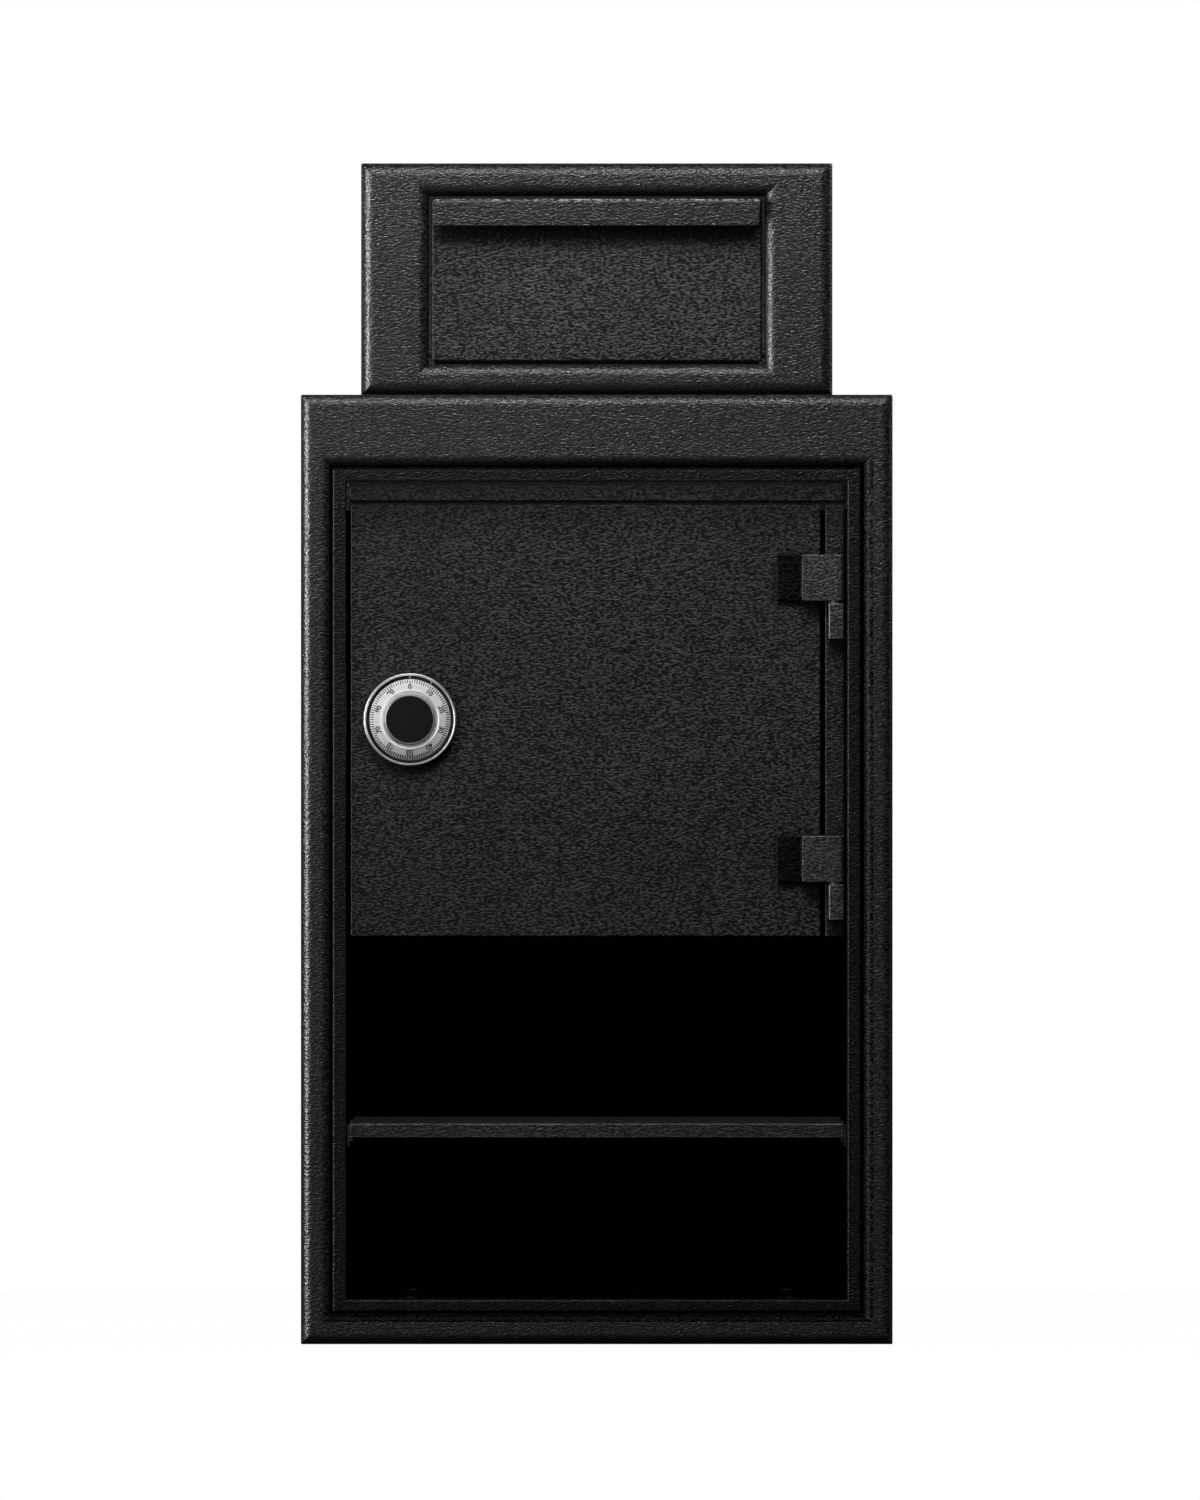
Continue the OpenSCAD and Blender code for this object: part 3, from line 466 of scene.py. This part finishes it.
def lathe(name, profile, centre, material, body, slot, cad=(), segments=144, ripple=None,
          closed=True):
    """Turns (radius, height towards -Y) points about an axis along Y through centre.

    ripple(k, angle) moves point k of the profile in or out along the turn."""
    cx, cy, cz = centre
    loops = []
    for k, (r, h) in enumerate(profile):
        loop = []
        for i in range(segments):
            a = 2 * math.pi * i / segments
            rr = r + (ripple(k, a) if ripple else 0.0)
            loop.append((cx + rr * math.sin(a), cy - h, cz + rr * math.cos(a)))
        loops.append(loop)
    verts, faces = join_loops(loops) if closed else join_capped(loops)
    finish_mesh(name, verts, faces, material, body, cad, centre, sharp=30.0)


def weld_bead(name, start, end, radius, material, body):
    """A fillet weld: a rippled bead between two points."""
    pitch, sides = 3.2 * MM, 10
    start, end = Vector(start), Vector(end)
    along = end - start
    length = along.length
    along.normalize()
    side = along.orthogonal().normalized()
    other = along.cross(side)
    rings = max(8, int(length / (pitch / 6)))
    loops = []
    for i in range(rings + 1):
        t = i / rings
        phase = (t * length / pitch) % 1.0
        r = radius * (0.86 + 0.16 * math.sqrt(max(0.0, 1 - (2 * phase - 1) ** 2)))
        r *= 1.0 + 0.05 * math.sin(t * 37.0)
        if i in (0, rings):
            r *= 0.4
        p = start + along * (length * t)
        loops.append([p + r * (math.cos(a) * side + math.sin(a) * other)
                      for a in [2 * math.pi * k / sides for k in range(sides)]])
    verts, faces = join_capped(loops)
    finish_mesh(name, verts, faces, material, body, sharp=60.0)


def dress(node, material, bevel=0.0, segments=2):
    """Keeps a CAD node as it is, with its material and softened edges."""
    piece = nodes[node]
    piece.data.materials.clear()
    piece.data.materials.append(material)
    weld = piece.modifiers.new("weld", "WELD")
    weld.merge_threshold = 1e-6
    if bevel:
        flatten = piece.modifiers.new("flatten", "DECIMATE")
        flatten.decimate_type = "DISSOLVE"
        flatten.angle_limit = math.radians(0.5)
        soft = piece.modifiers.new("soft", "BEVEL")
        soft.width = bevel
        soft.segments = segments
        soft.limit_method = "ANGLE"
        soft.angle_limit = math.radians(40)


def size_of(node):
    """The low and high corners of a CAD node's box."""
    low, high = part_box(node)
    return Vector(low), Vector(high)


# ---------- cabinet ----------

frame_low, frame_high = size_of("front_frame")
jamb_low, jamb_high = size_of("jamb_frame")
hopper_low, hopper_high = size_of("hopper_face")
drawer_low, drawer_high = size_of("drawer_front")
door_low, door_high = size_of("inner_door_plate")
dial_low, dial_high = size_of("dial")
ring_low, ring_high = size_of("dial_ring")


def build_front():
    """The cabinet's front. Inside the opening, the right roll and the sill take darker, duller
    copies of the coat: painted shade.
    """
    outer = (frame_low.x, frame_high.x, frame_low.z, frame_high.z)
    opening = (jamb_low.x, jamb_high.x, jamb_low.z, jamb_high.z)
    skin = rolled_frame("front_frame_skin", outer, opening, frame_low.y, frame_high.y,
                        roll=11 * MM, window_roll=8.5 * MM, lip_back=frame_low.y + 40 * MM,
                        wall=4 * MM, material=coat_body, cad=["front_frame"])
    skin.data.materials.append(coat_shaded_lip)
    skin.data.materials.append(coat_shaded_sill)
    # Faces of the right roll and of the sill roll get the painted-shade copies.
    lip, sill = 10.4 * MM, 8 * MM
    for face in skin.data.polygons:
        x, z = face.center.x, face.center.z
        if jamb_high.x < x < jamb_high.x + lip and jamb_low.z - lip < z < jamb_high.z:
            face.material_index = 1
        if jamb_low.z - sill < z < jamb_low.z and jamb_low.x < x < jamb_high.x:
            face.material_index = 2


def build_hopper_face():
    """The hopper's front, with a window a little larger than the drawer."""
    window_x = drawer_high.x + 2.5 * MM
    outer = (hopper_low.x, hopper_high.x, hopper_low.z, hopper_high.z)
    window = (-window_x, window_x, drawer_low.z - 2.5 * MM, drawer_high.z + 3 * MM)
    rolled_frame("hopper_face_skin", outer, window, hopper_low.y, hopper_high.y, roll=13 * MM,
                 window_roll=12 * MM, lip_back=hopper_low.y + 12.5 * MM, wall=3 * MM,
                 material=coat_hopper, cad=["hopper_face"])


def build_jamb():
    """The jamb: a flat band behind the groove, whose rounded outer edge is painted lighter
    (painted highlight and rubbing), and a near-black strip down the groove: painted shade.
    """
    front, back = jamb_low.y, jamb_high.y
    groove_y = frame_low.y + 25 * MM
    groove_w = 3 * MM
    sharp_corner, soft_corner = 0.3 * MM, 0.8 * MM
    clear_x, clear_low, clear_high = 251 * MM, jamb_low.z + 14 * MM, jamb_high.z - 16.5 * MM
    band = (jamb_low.x + groove_w, jamb_high.x - groove_w, jamb_low.z + groove_w - 0.5 * MM,
            jamb_high.z - groove_w - 1.5 * MM)
    whole = (jamb_low.x, jamb_high.x, jamb_low.z, jamb_high.z)
    loops = [rectangle(-clear_x, clear_x, clear_low, clear_high, back, sharp_corner),
             rectangle(*whole, back, sharp_corner),
             rectangle(*whole, groove_y, sharp_corner),
             rectangle(*band, groove_y, sharp_corner)]
    for inset, depth in quarter_roll(2.2 * MM, 6):
        loops.append(rectangle(band[0] + inset, band[1] - inset, band[2] + inset,
                               band[3] - inset, front + depth, soft_corner))
    for inset, depth in reversed(quarter_roll(1.2 * MM, 4)):
        loops.append(rectangle(-clear_x - inset, clear_x + inset, clear_low - inset,
                               clear_high + inset, front + depth, sharp_corner))
    verts, faces = join_loops(loops)
    finish_mesh("jamb_skin", verts, faces, coat_jamb, "cabinet", ["jamb_frame"],
                sharp=30.0)

    # A near-black strip down in the groove: painted shade.
    shade_strip_t = 3 * MM
    near, far = 0.15 * MM, groove_w - 0.15 * MM
    ring = []
    for inset, y in ((near, groove_y), (far, groove_y), (far, groove_y - shade_strip_t),
                     (near, groove_y - shade_strip_t)):
        ring.append(rectangle(jamb_low.x + inset, jamb_high.x - inset, jamb_low.z + inset,
                              jamb_high.z - inset, y, sharp_corner))
    verts, faces = join_loops(ring)
    finish_mesh("groove_seal", verts, faces, liner_black_and_shade, "cabinet", sharp=30.0)


def build_shell():
    """The CAD's own pieces, by material and width of the softened edge."""
    groups = (
        (coat_body, 0.8 * MM, ("body_sides", "body_top", "body_bottom", "body_back")),
        (coat_hopper, 0.8 * MM, ("hopper_sides", "hopper_top", "hopper_back", "hopper_base")),
        # The liner's near-black is partly painted shade for the deep inside and the gaps.
        (liner_black_and_shade, 0.0, ("inner_liner", "compartment_floor", "floor_angles", "door_stop",
                            "dead_bar")),
        (black_satin, 0.4 * MM, ("throat_liner", "anti_fish_baffle", "pivot_brackets",
                                 "drawer_sides", "drawer_tray")),
        # Pins, washers, sleeves, clips and bushings darkened far below their own metal: painted
        # shade in the gaps.
        (steel_in_painted_shade, 0.0, ("hinge_pins", "hinge_washers", "drawer_pins", "anchor_sleeves",
                           "shelf_clips")),
        (bronze_in_painted_shade, 0.0, ("pivot_bushings",)),
        (zinc, 0.3 * MM, ("lock_case", "lock_cover", "hopper_bolts")),
        (zinc, 0.0, ("strike_block", "fish_comb", "lock_screws", "lever", "lever_screw")),
        (brass, 0.0, ("spindle_tube", "wheel_post", "wheel_spacers", "spindle", "drive_cam",
                      "lock_wheel_1", "lock_wheel_2", "lock_wheel_3", "lock_bolt")),
        (fill, 0.0, ("barrier_panels",)),
        (rubber, 1.0 * MM, ("closing_bumpers",)))
    for material, bevel, names in groups:
        for node in names:
            dress(node, material, bevel)


def build_recess():
    """Header, hinge stile, shelf and inner door."""
    dress("compartment_header", coat_header, 1.2 * MM, 3)
    dress("hinge_stile", coat_stile, 1.8 * MM, 3)
    dress("shelf", coat_shelf, 1.4 * MM, 3)
    slab("inner_door_panel", door_low, door_high, coat_door, "inner_door",
         ["inner_door_plate"], bevel=1.5 * MM)


# ---------- hinges ----------

def build_hinges():
    """Two hinges: a block and a leaf on the door, a knuckle on the stile below each block."""
    leaf_low, leaf_high = size_of("hinge_leaves")
    block_low, block_high = size_of("hinge_blocks")
    knuckle_low, knuckle_high = size_of("frame_knuckles")
    r = 8.25 * MM
    block_h, knuckle_h, gap = 46 * MM, 35.5 * MM, 2.6 * MM
    block_corner, knuckle_corner = 4.5 * MM, 2.5 * MM
    axis_x, axis_y = knuckle_high.x - r, knuckle_low.y + r

    block = [(block_low.x, leaf_low.y), (block_low.x, block_low.y)]
    block += arc(axis_x + r - block_corner, block_low.y + block_corner, block_corner, 270, 360, 8)
    block += arc(axis_x, axis_y, r, 0, 150, 16)[1:]
    block.append((axis_x - r, leaf_low.y))

    knuckle = [(axis_x - r, leaf_high.y)]
    for x, start in ((axis_x - r + knuckle_corner, 180), (axis_x + r - knuckle_corner, 270)):
        knuckle += arc(x, axis_y - r + knuckle_corner, knuckle_corner, start, start + 90, 6)
    knuckle.append((axis_x + r, leaf_high.y))

    weld_x, weld_r, weld_end = block_low.x - 0.3 * MM, 1.5 * MM, 3 * MM
    for number, z in enumerate((block_high.z - block_h, block_low.z), 1):
        first = number == 1
        prism(f"hinge_block_{number}", block, "z", z, z + block_h, coat_hinge, "inner_door",
              ["hinge_blocks"] if first else (), bevel=1.0 * MM)
        slab(f"hinge_leaf_{number}", (leaf_low.x, leaf_low.y, z),
             (leaf_high.x, leaf_high.y, z + block_h), coat_leaf, "inner_door",
             ["hinge_leaves"] if first else (), bevel=0.9 * MM)
        prism(f"frame_knuckle_{number}", knuckle, "z", z - gap - knuckle_h, z - gap, coat_hinge,
              "cabinet", ["frame_knuckles"] if first else (), bevel=0.9 * MM)
        weld_bead(f"leaf_weld_{number}", (weld_x, leaf_low.y, z + weld_end),
                  (weld_x, leaf_low.y, z + block_h - weld_end), weld_r, coat_leaf, "inner_door")


# ---------- dial ----------

lock_x = (ring_low.x + ring_high.x) / 2
lock_z = (dial_low.z + dial_high.z) / 2
face_y = ring_high.y
axis_point = (lock_x, face_y, lock_z)
divisions = 100
division = 360 / divisions


def on_dial(radius, degrees, height, aside=0.0):
    """A point of the dial: degrees clockwise from the top, height towards the front."""
    a = math.radians(degrees)
    return Vector((lock_x + radius * math.sin(a) + aside * math.cos(a), face_y - height,
                   lock_z + radius * math.cos(a) - aside * math.sin(a)))


def turned(name, profile, material, body, slot, cad=(), **options):
    """A piece turned about the dial's axis, from (radius, height) points in millimetres."""
    lathe(name, [(r * MM, h * MM) for r, h in profile], axis_point, material, body, slot, cad,
          **options)


def radial_bar(degrees, inner, outer, half, lifts):
    """The corners of a thin bar along a radius of the dial.

    inner and outer are its ends as (radius, height); lifts are its underside and its top."""
    return [on_dial(radius, degrees, height + lift, aside)
            for radius, height in (inner, outer) for lift in lifts for aside in (-half, half)]


BAR_FACES = [(0, 1, 3, 2), (4, 6, 7, 5), (0, 4, 5, 1), (2, 3, 7, 6), (0, 2, 6, 4), (1, 5, 7, 3)]


def build_dial():
    """Fixed ring with its index marks, and the dial, knob and cap that turn in it.

    Profiles are (radius, height) in millimetres, from the door's face."""
    ring = [(5.6, 0.0), (46.5, 0.0), (46.5, 9.2)]
    ring += arc(45.2, 9.2, 1.3, 15, 180, 11)
    ring += [(43.8, 7.6), (43.8, 2.8), (5.6, 2.8)]
    turned("dial_ring_bezel", ring, bright_silver, "inner_door", "satin_chrome", ["dial_ring"],
           segments=180)
    floor = [(41.0, 2.9), (43.75, 2.9), (43.75, 7.2), (41.0, 7.0)]
    turned("dial_ring_floor", floor, ink_black, "inner_door", "dial_black", segments=180)
    mark_half, mark_height, mark_t = 0.7 * MM, 6.6 * MM, 1.0 * MM
    for number, degrees in enumerate((0, 30), 1):
        verts = radial_bar(degrees, (41.1 * MM, mark_height), (43.7 * MM, mark_height),
                           mark_half, (0.0, mark_t))
        finish_mesh(f"index_mark_{number}", verts, BAR_FACES, ink_white, "inner_door")

    face = [(4.1, 3.7), (40.4, 3.7), (40.4, 7.9), (40.2, 8.4), (39.9, 8.55), (35.8, 9.6),
            (35.4, 9.75), (35.0, 9.7), (30.2, 10.2), (29.4, 10.5), (28.9, 10.2), (28.6, 9.6),
            (28.2, 9.4), (4.1, 9.4)]
    turned("dial_face", face, silver, "dial", "satin_chrome", ["dial"], segments=200)

    knob = [(4.1, 9.4), (27.6, 9.4), (27.9, 12.0), (27.2, 14.2), (26.4, 24.5), (26.0, 27.6),
            (25.6, 29.0), (25.0, 30.0), (24.3, 30.5), (23.7, 30.5), (23.55, 30.2),
            (23.55, 28.9), (4.1, 28.9)]
    fluted = (3, 4)
    flutes, flute_depth = 60, 0.35 * MM

    def ripple(k, a):
        return -flute_depth * max(0.0, math.cos(flutes * a)) if k in fluted else 0.0

    turned("knob_body", knob, bright_silver, "dial", "satin_chrome", ["dial_knob"],
           segments=240, ripple=ripple)
    cap = [(23.5, 29.0), (23.5, 30.0), (23.3, 30.35), (22.9, 30.5), (1.0, 30.62)]
    turned("knob_cap_disc", cap, cap_black, "dial", "dial_black", ["knob_cap"], closed=False)
    build_ticks()
    build_numbers()


def build_ticks():
    """A hundred short black lines on the dial's bevelled rim, every tenth one longer."""
    half, lifts = 0.52 * MM, (-0.3 * MM, 0.09 * MM)
    outer = (40.0 * MM, 8.55 * MM)
    verts, faces = [], []
    for i in range(divisions):
        inner = ((35.9 if i % 10 == 0 else 36.3) * MM, 9.6 * MM)
        start = len(verts)
        verts += radial_bar(i * division, inner, outer, half, lifts)
        faces += [tuple(start + k for k in face) for face in BAR_FACES]
    finish_mesh("dial_ticks", verts, faces, ink_black, "dial", centre=axis_point)


def build_numbers():
    """Numbers every ten divisions, their tops outwards."""
    for value in range(0, divisions, 10):
        curve = bpy.data.curves.new(f"number_{value}", "FONT")
        curve.body = str(value)
        curve.size = 7.2 * MM
        curve.extrude = 0.12 * MM
        curve.offset = 0.2 * MM
        curve.align_x, curve.align_y = "CENTER", "CENTER"
        text = bpy.data.objects.new(f"number_{value}_curve", curve)
        bpy.context.scene.collection.objects.link(text)
        bpy.context.view_layer.update()
        shape = bpy.data.meshes.new_from_object(
            text.evaluated_get(bpy.context.evaluated_depsgraph_get()))
        bpy.data.objects.remove(text)
        degrees = value * division
        turn = Matrix.Rotation(math.radians(degrees), 4, "Y") @ Matrix.Rotation(
            math.radians(90), 4, "X")
        spot = on_dial(32.9 * MM, degrees, 10.02 * MM)
        shape.transform(Matrix.Translation(spot) @ turn)
        shape.materials.clear()
        shape.materials.append(ink_black)
        piece = bpy.data.objects.new(f"dial_number_{value}", shape)
        bpy.context.scene.collection.objects.link(piece)
        bpy.context.view_layer.update()
        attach(piece, "dial")


# ---------- hopper drawer ----------

def build_drawer():
    """The drawer's pan with a crisp folded edge."""
    low, high = drawer_low, drawer_high
    wall, inner_corner, corner = 2.5 * MM, 0.5 * MM, 0.8 * MM
    inside = (low.x + wall, high.x - wall, low.z + wall, high.z - wall)
    loops = [rectangle(*inside, low.y + wall, inner_corner),
             rectangle(*inside, high.y, inner_corner),
             rectangle(low.x, high.x, low.z, high.z, high.y, corner)]
    for inset, depth in quarter_roll(2.4 * MM, 6):
        loops.append(rectangle(low.x + inset, high.x - inset, low.z + inset, high.z - inset,
                               low.y + depth, corner))
    verts, faces = join_capped(loops)
    finish_mesh("drawer_panel", verts, faces, coat_drawer, "hopper_door",
                ["drawer_front"], sharp=30.0)


def build_handle():
    """The pull: a folded lip across the drawer's top, with rounded lower corners and a painted
    highlight along its top fold.
    """
    low, high = size_of("drawer_handle")
    wall, bend, steps = 2.5 * MM, 4 * MM, 8
    front, back, top = low.y + bend, high.y - bend, high.z - bend
    root = low.z + 4 * MM
    path = [(low.y, low.z), (low.y, top)]
    path += arc(front, top, bend, 180, 90, steps)[1:] + arc(back, top, bend, 90, 0, steps)
    path += [(high.y, root), (high.y - wall, root)]
    path += arc(back, top, bend - wall, 0, 90, steps)
    path += arc(front, top, bend - wall, 90, 180, steps) + [(low.y + wall, low.z)]
    corner, corner_steps = 5 * MM, 6
    stops = [corner * i / corner_steps for i in range(corner_steps + 1)]
    loops = []
    for x in [low.x + t for t in stops] + [high.x - t for t in reversed(stops)]:
        short = max(0.0, corner - min(x - low.x, high.x - x))
        cut = corner - math.sqrt(max(0.0, corner ** 2 - short ** 2))
        loops.append([(x, y, max(z, low.z + cut)) for y, z in path])
    verts, faces = join_capped(loops)
    pull = finish_mesh("drawer_pull", verts, faces, coat_pull, "hopper_door",
                       ["drawer_handle"], sharp=40.0, bevel=0.7 * MM)
    pull.data.materials.append(coat_pull_highlight)
    # Faces on the top fold, turned up and forward, get the painted highlight.
    for face in pull.data.polygons:
        if face.normal.y < -0.2 and face.normal.z > 0.5:
            face.material_index = 1


# ---------- stage, light and camera ----------

FLOOR_BOUNCE, FLOOR_SEEN = 0.05, 0.9    # the floor's grey to other rays and to the camera
FLOOR_GLOW, GLOW_SHARE = 1.03, 0.9      # its own light, and that light's share to the camera
AMBIENT = 0.03                          # the world's light on the pieces


def grey_colour(level):
    return (level, level, level, 1)


def build_floor():
    """A pale floor to the camera that throws little light back on the pieces."""
    reach, grid = 1.7, 12
    step, row = 2 * reach / grid, grid + 1
    verts = [(-reach + i * step, -reach + j * step, -0.4 * MM)
             for j in range(row) for i in range(row)]
    faces = [(j * row + i, j * row + i + 1, (j + 1) * row + i + 1, (j + 1) * row + i)
             for j in range(grid) for i in range(grid)]
    mesh = bpy.data.meshes.new("studio_floor")
    mesh.from_pydata(verts, [], faces)
    floor = bpy.data.objects.new("studio_floor", mesh)
    bpy.context.scene.collection.objects.link(floor)
    material = bpy.data.materials.new("studio_floor")
    material.use_nodes = True
    tree = material.node_tree
    tree.nodes.clear()
    out = tree.nodes.new("ShaderNodeOutputMaterial")
    matt = tree.nodes.new("ShaderNodeBsdfDiffuse")
    pale = tree.nodes.new("ShaderNodeMix")
    pale.data_type = "RGBA"
    pale.inputs["A"].default_value = grey_colour(FLOOR_BOUNCE)
    pale.inputs["B"].default_value = grey_colour(FLOOR_SEEN)
    glow = tree.nodes.new("ShaderNodeEmission")
    glow.inputs["Strength"].default_value = FLOOR_GLOW
    blend = tree.nodes.new("ShaderNodeMixShader")
    seen = tree.nodes.new("ShaderNodeLightPath")
    cover = tree.nodes.new("ShaderNodeMath")
    cover.operation = "MULTIPLY"
    cover.inputs[1].default_value = GLOW_SHARE
    tree.links.new(seen.outputs["Is Camera Ray"], pale.inputs["Factor"])
    tree.links.new(pale.outputs["Result"], matt.inputs["Color"])
    tree.links.new(seen.outputs["Is Camera Ray"], cover.inputs[0])
    tree.links.new(cover.outputs["Value"], blend.inputs["Fac"])
    tree.links.new(matt.outputs["BSDF"], blend.inputs[1])
    tree.links.new(glow.outputs["Emission"], blend.inputs[2])
    tree.links.new(blend.outputs["Shader"], out.inputs["Surface"])
    floor.data.materials.append(material)


def build_world():
    """White to the camera, nearly dark for the pieces."""
    world = bpy.data.worlds.new("studio")
    bpy.context.scene.world = world
    world.use_nodes = True
    tree = world.node_tree
    tree.nodes.clear()
    out = tree.nodes.new("ShaderNodeOutputWorld")
    mix = tree.nodes.new("ShaderNodeMixShader")
    path = tree.nodes.new("ShaderNodeLightPath")
    tree.links.new(path.outputs["Is Camera Ray"], mix.inputs["Fac"])
    for place, strength in ((1, AMBIENT), (2, 1.0)):
        sky = tree.nodes.new("ShaderNodeBackground")
        sky.inputs["Color"].default_value = grey_colour(1)
        sky.inputs["Strength"].default_value = strength
        tree.links.new(sky.outputs["Background"], mix.inputs[place])
    tree.links.new(mix.outputs["Shader"], out.inputs["Surface"])


def area_light(name, place, aim, width, height, power, diffuse=True, glossy=True):
    """A lamp of this width and height in metres, at a place and turned towards an aim."""
    data = bpy.data.lights.new(name, "AREA")
    data.shape = "RECTANGLE"
    data.size, data.size_y = width, height
    data.energy = power
    light = bpy.data.objects.new(name, data)
    light.location = place
    toward = (Vector(aim) - Vector(place)).normalized()
    light.rotation_mode = "QUATERNION"
    light.rotation_quaternion = toward.to_track_quat("-Z", "Y")
    light.visible_camera = False
    light.visible_diffuse = diffuse
    light.visible_glossy = glossy
    bpy.context.scene.collection.objects.link(light)
    return light


def build_light():
    """Two strips that only shine, a key that only lights, and soft lights all round.

    Only the pieces that stand out cast shadows from the first three."""
    casters = bpy.data.collections.new("shadow_casters")
    for piece in bpy.data.objects:
        if piece.name.startswith(("drawer_pull", "dial_ring_bezel", "dial_face", "hinge_block",
                                  "hinge_leaf", "frame_knuckle")):
            casters.objects.link(piece)
    front = frame_low.y
    strips = [
        area_light("strip_left", (-1.85, -1.27, 0.92), (0, front, 0.72), 0.25, 1.5, 84,
                   diffuse=False),
        area_light("strip_top", (-0.1, -1.45, 2.25), (0, front, 0.9), 1.4, 0.25, 28,
                   diffuse=False),
        area_light("key", (-0.1, -1.5, 2.4), (0, front, 0.7), 1.2, 1.3, 46, glossy=False)]
    for light in strips:
        light.light_linking.blocker_collection = casters
    area_light("soft_front", (-1.2, -2.2, 2.1), (0, front, 0.65), 1.6, 1.6, 8)
    area_light("rear_left", (-2.2, 2.4, 2.7), (0, 0, 0.7), 2.2, 2.2, 40)
    area_light("rear_right", (2.4, 1.9, 2.7), (0, 0, 0.7), 2.2, 2.2, 45)


def build_camera():
    """A long lens straight at the front, far enough to take in the picture's height."""
    lens, sensor, picture_height = 500, 36, 1.5
    data = bpy.data.cameras.new("camera")
    data.lens = lens
    data.sensor_width = sensor
    data.sensor_fit = "AUTO"
    data.clip_start, data.clip_end = 1.0, 100.0
    camera = bpy.data.objects.new("camera", data)
    distance = picture_height * lens / sensor
    camera.location = (3.25 * MM, frame_low.y - distance, 594.5 * MM)
    camera.rotation_mode = "XYZ"
    camera.rotation_euler = (math.radians(90), 0, 0)
    bpy.context.scene.collection.objects.link(camera)
    bpy.context.scene.camera = camera
    view = bpy.context.scene.view_settings
    view.view_transform = "Standard"
    view.look = "None"
    view.exposure = 0.0
    view.gamma = 1.0


build_front()
build_hopper_face()
build_jamb()
build_shell()
build_recess()
build_hinges()
build_dial()
build_drawer()
build_handle()
build_floor()
build_world()
build_light()
build_camera()
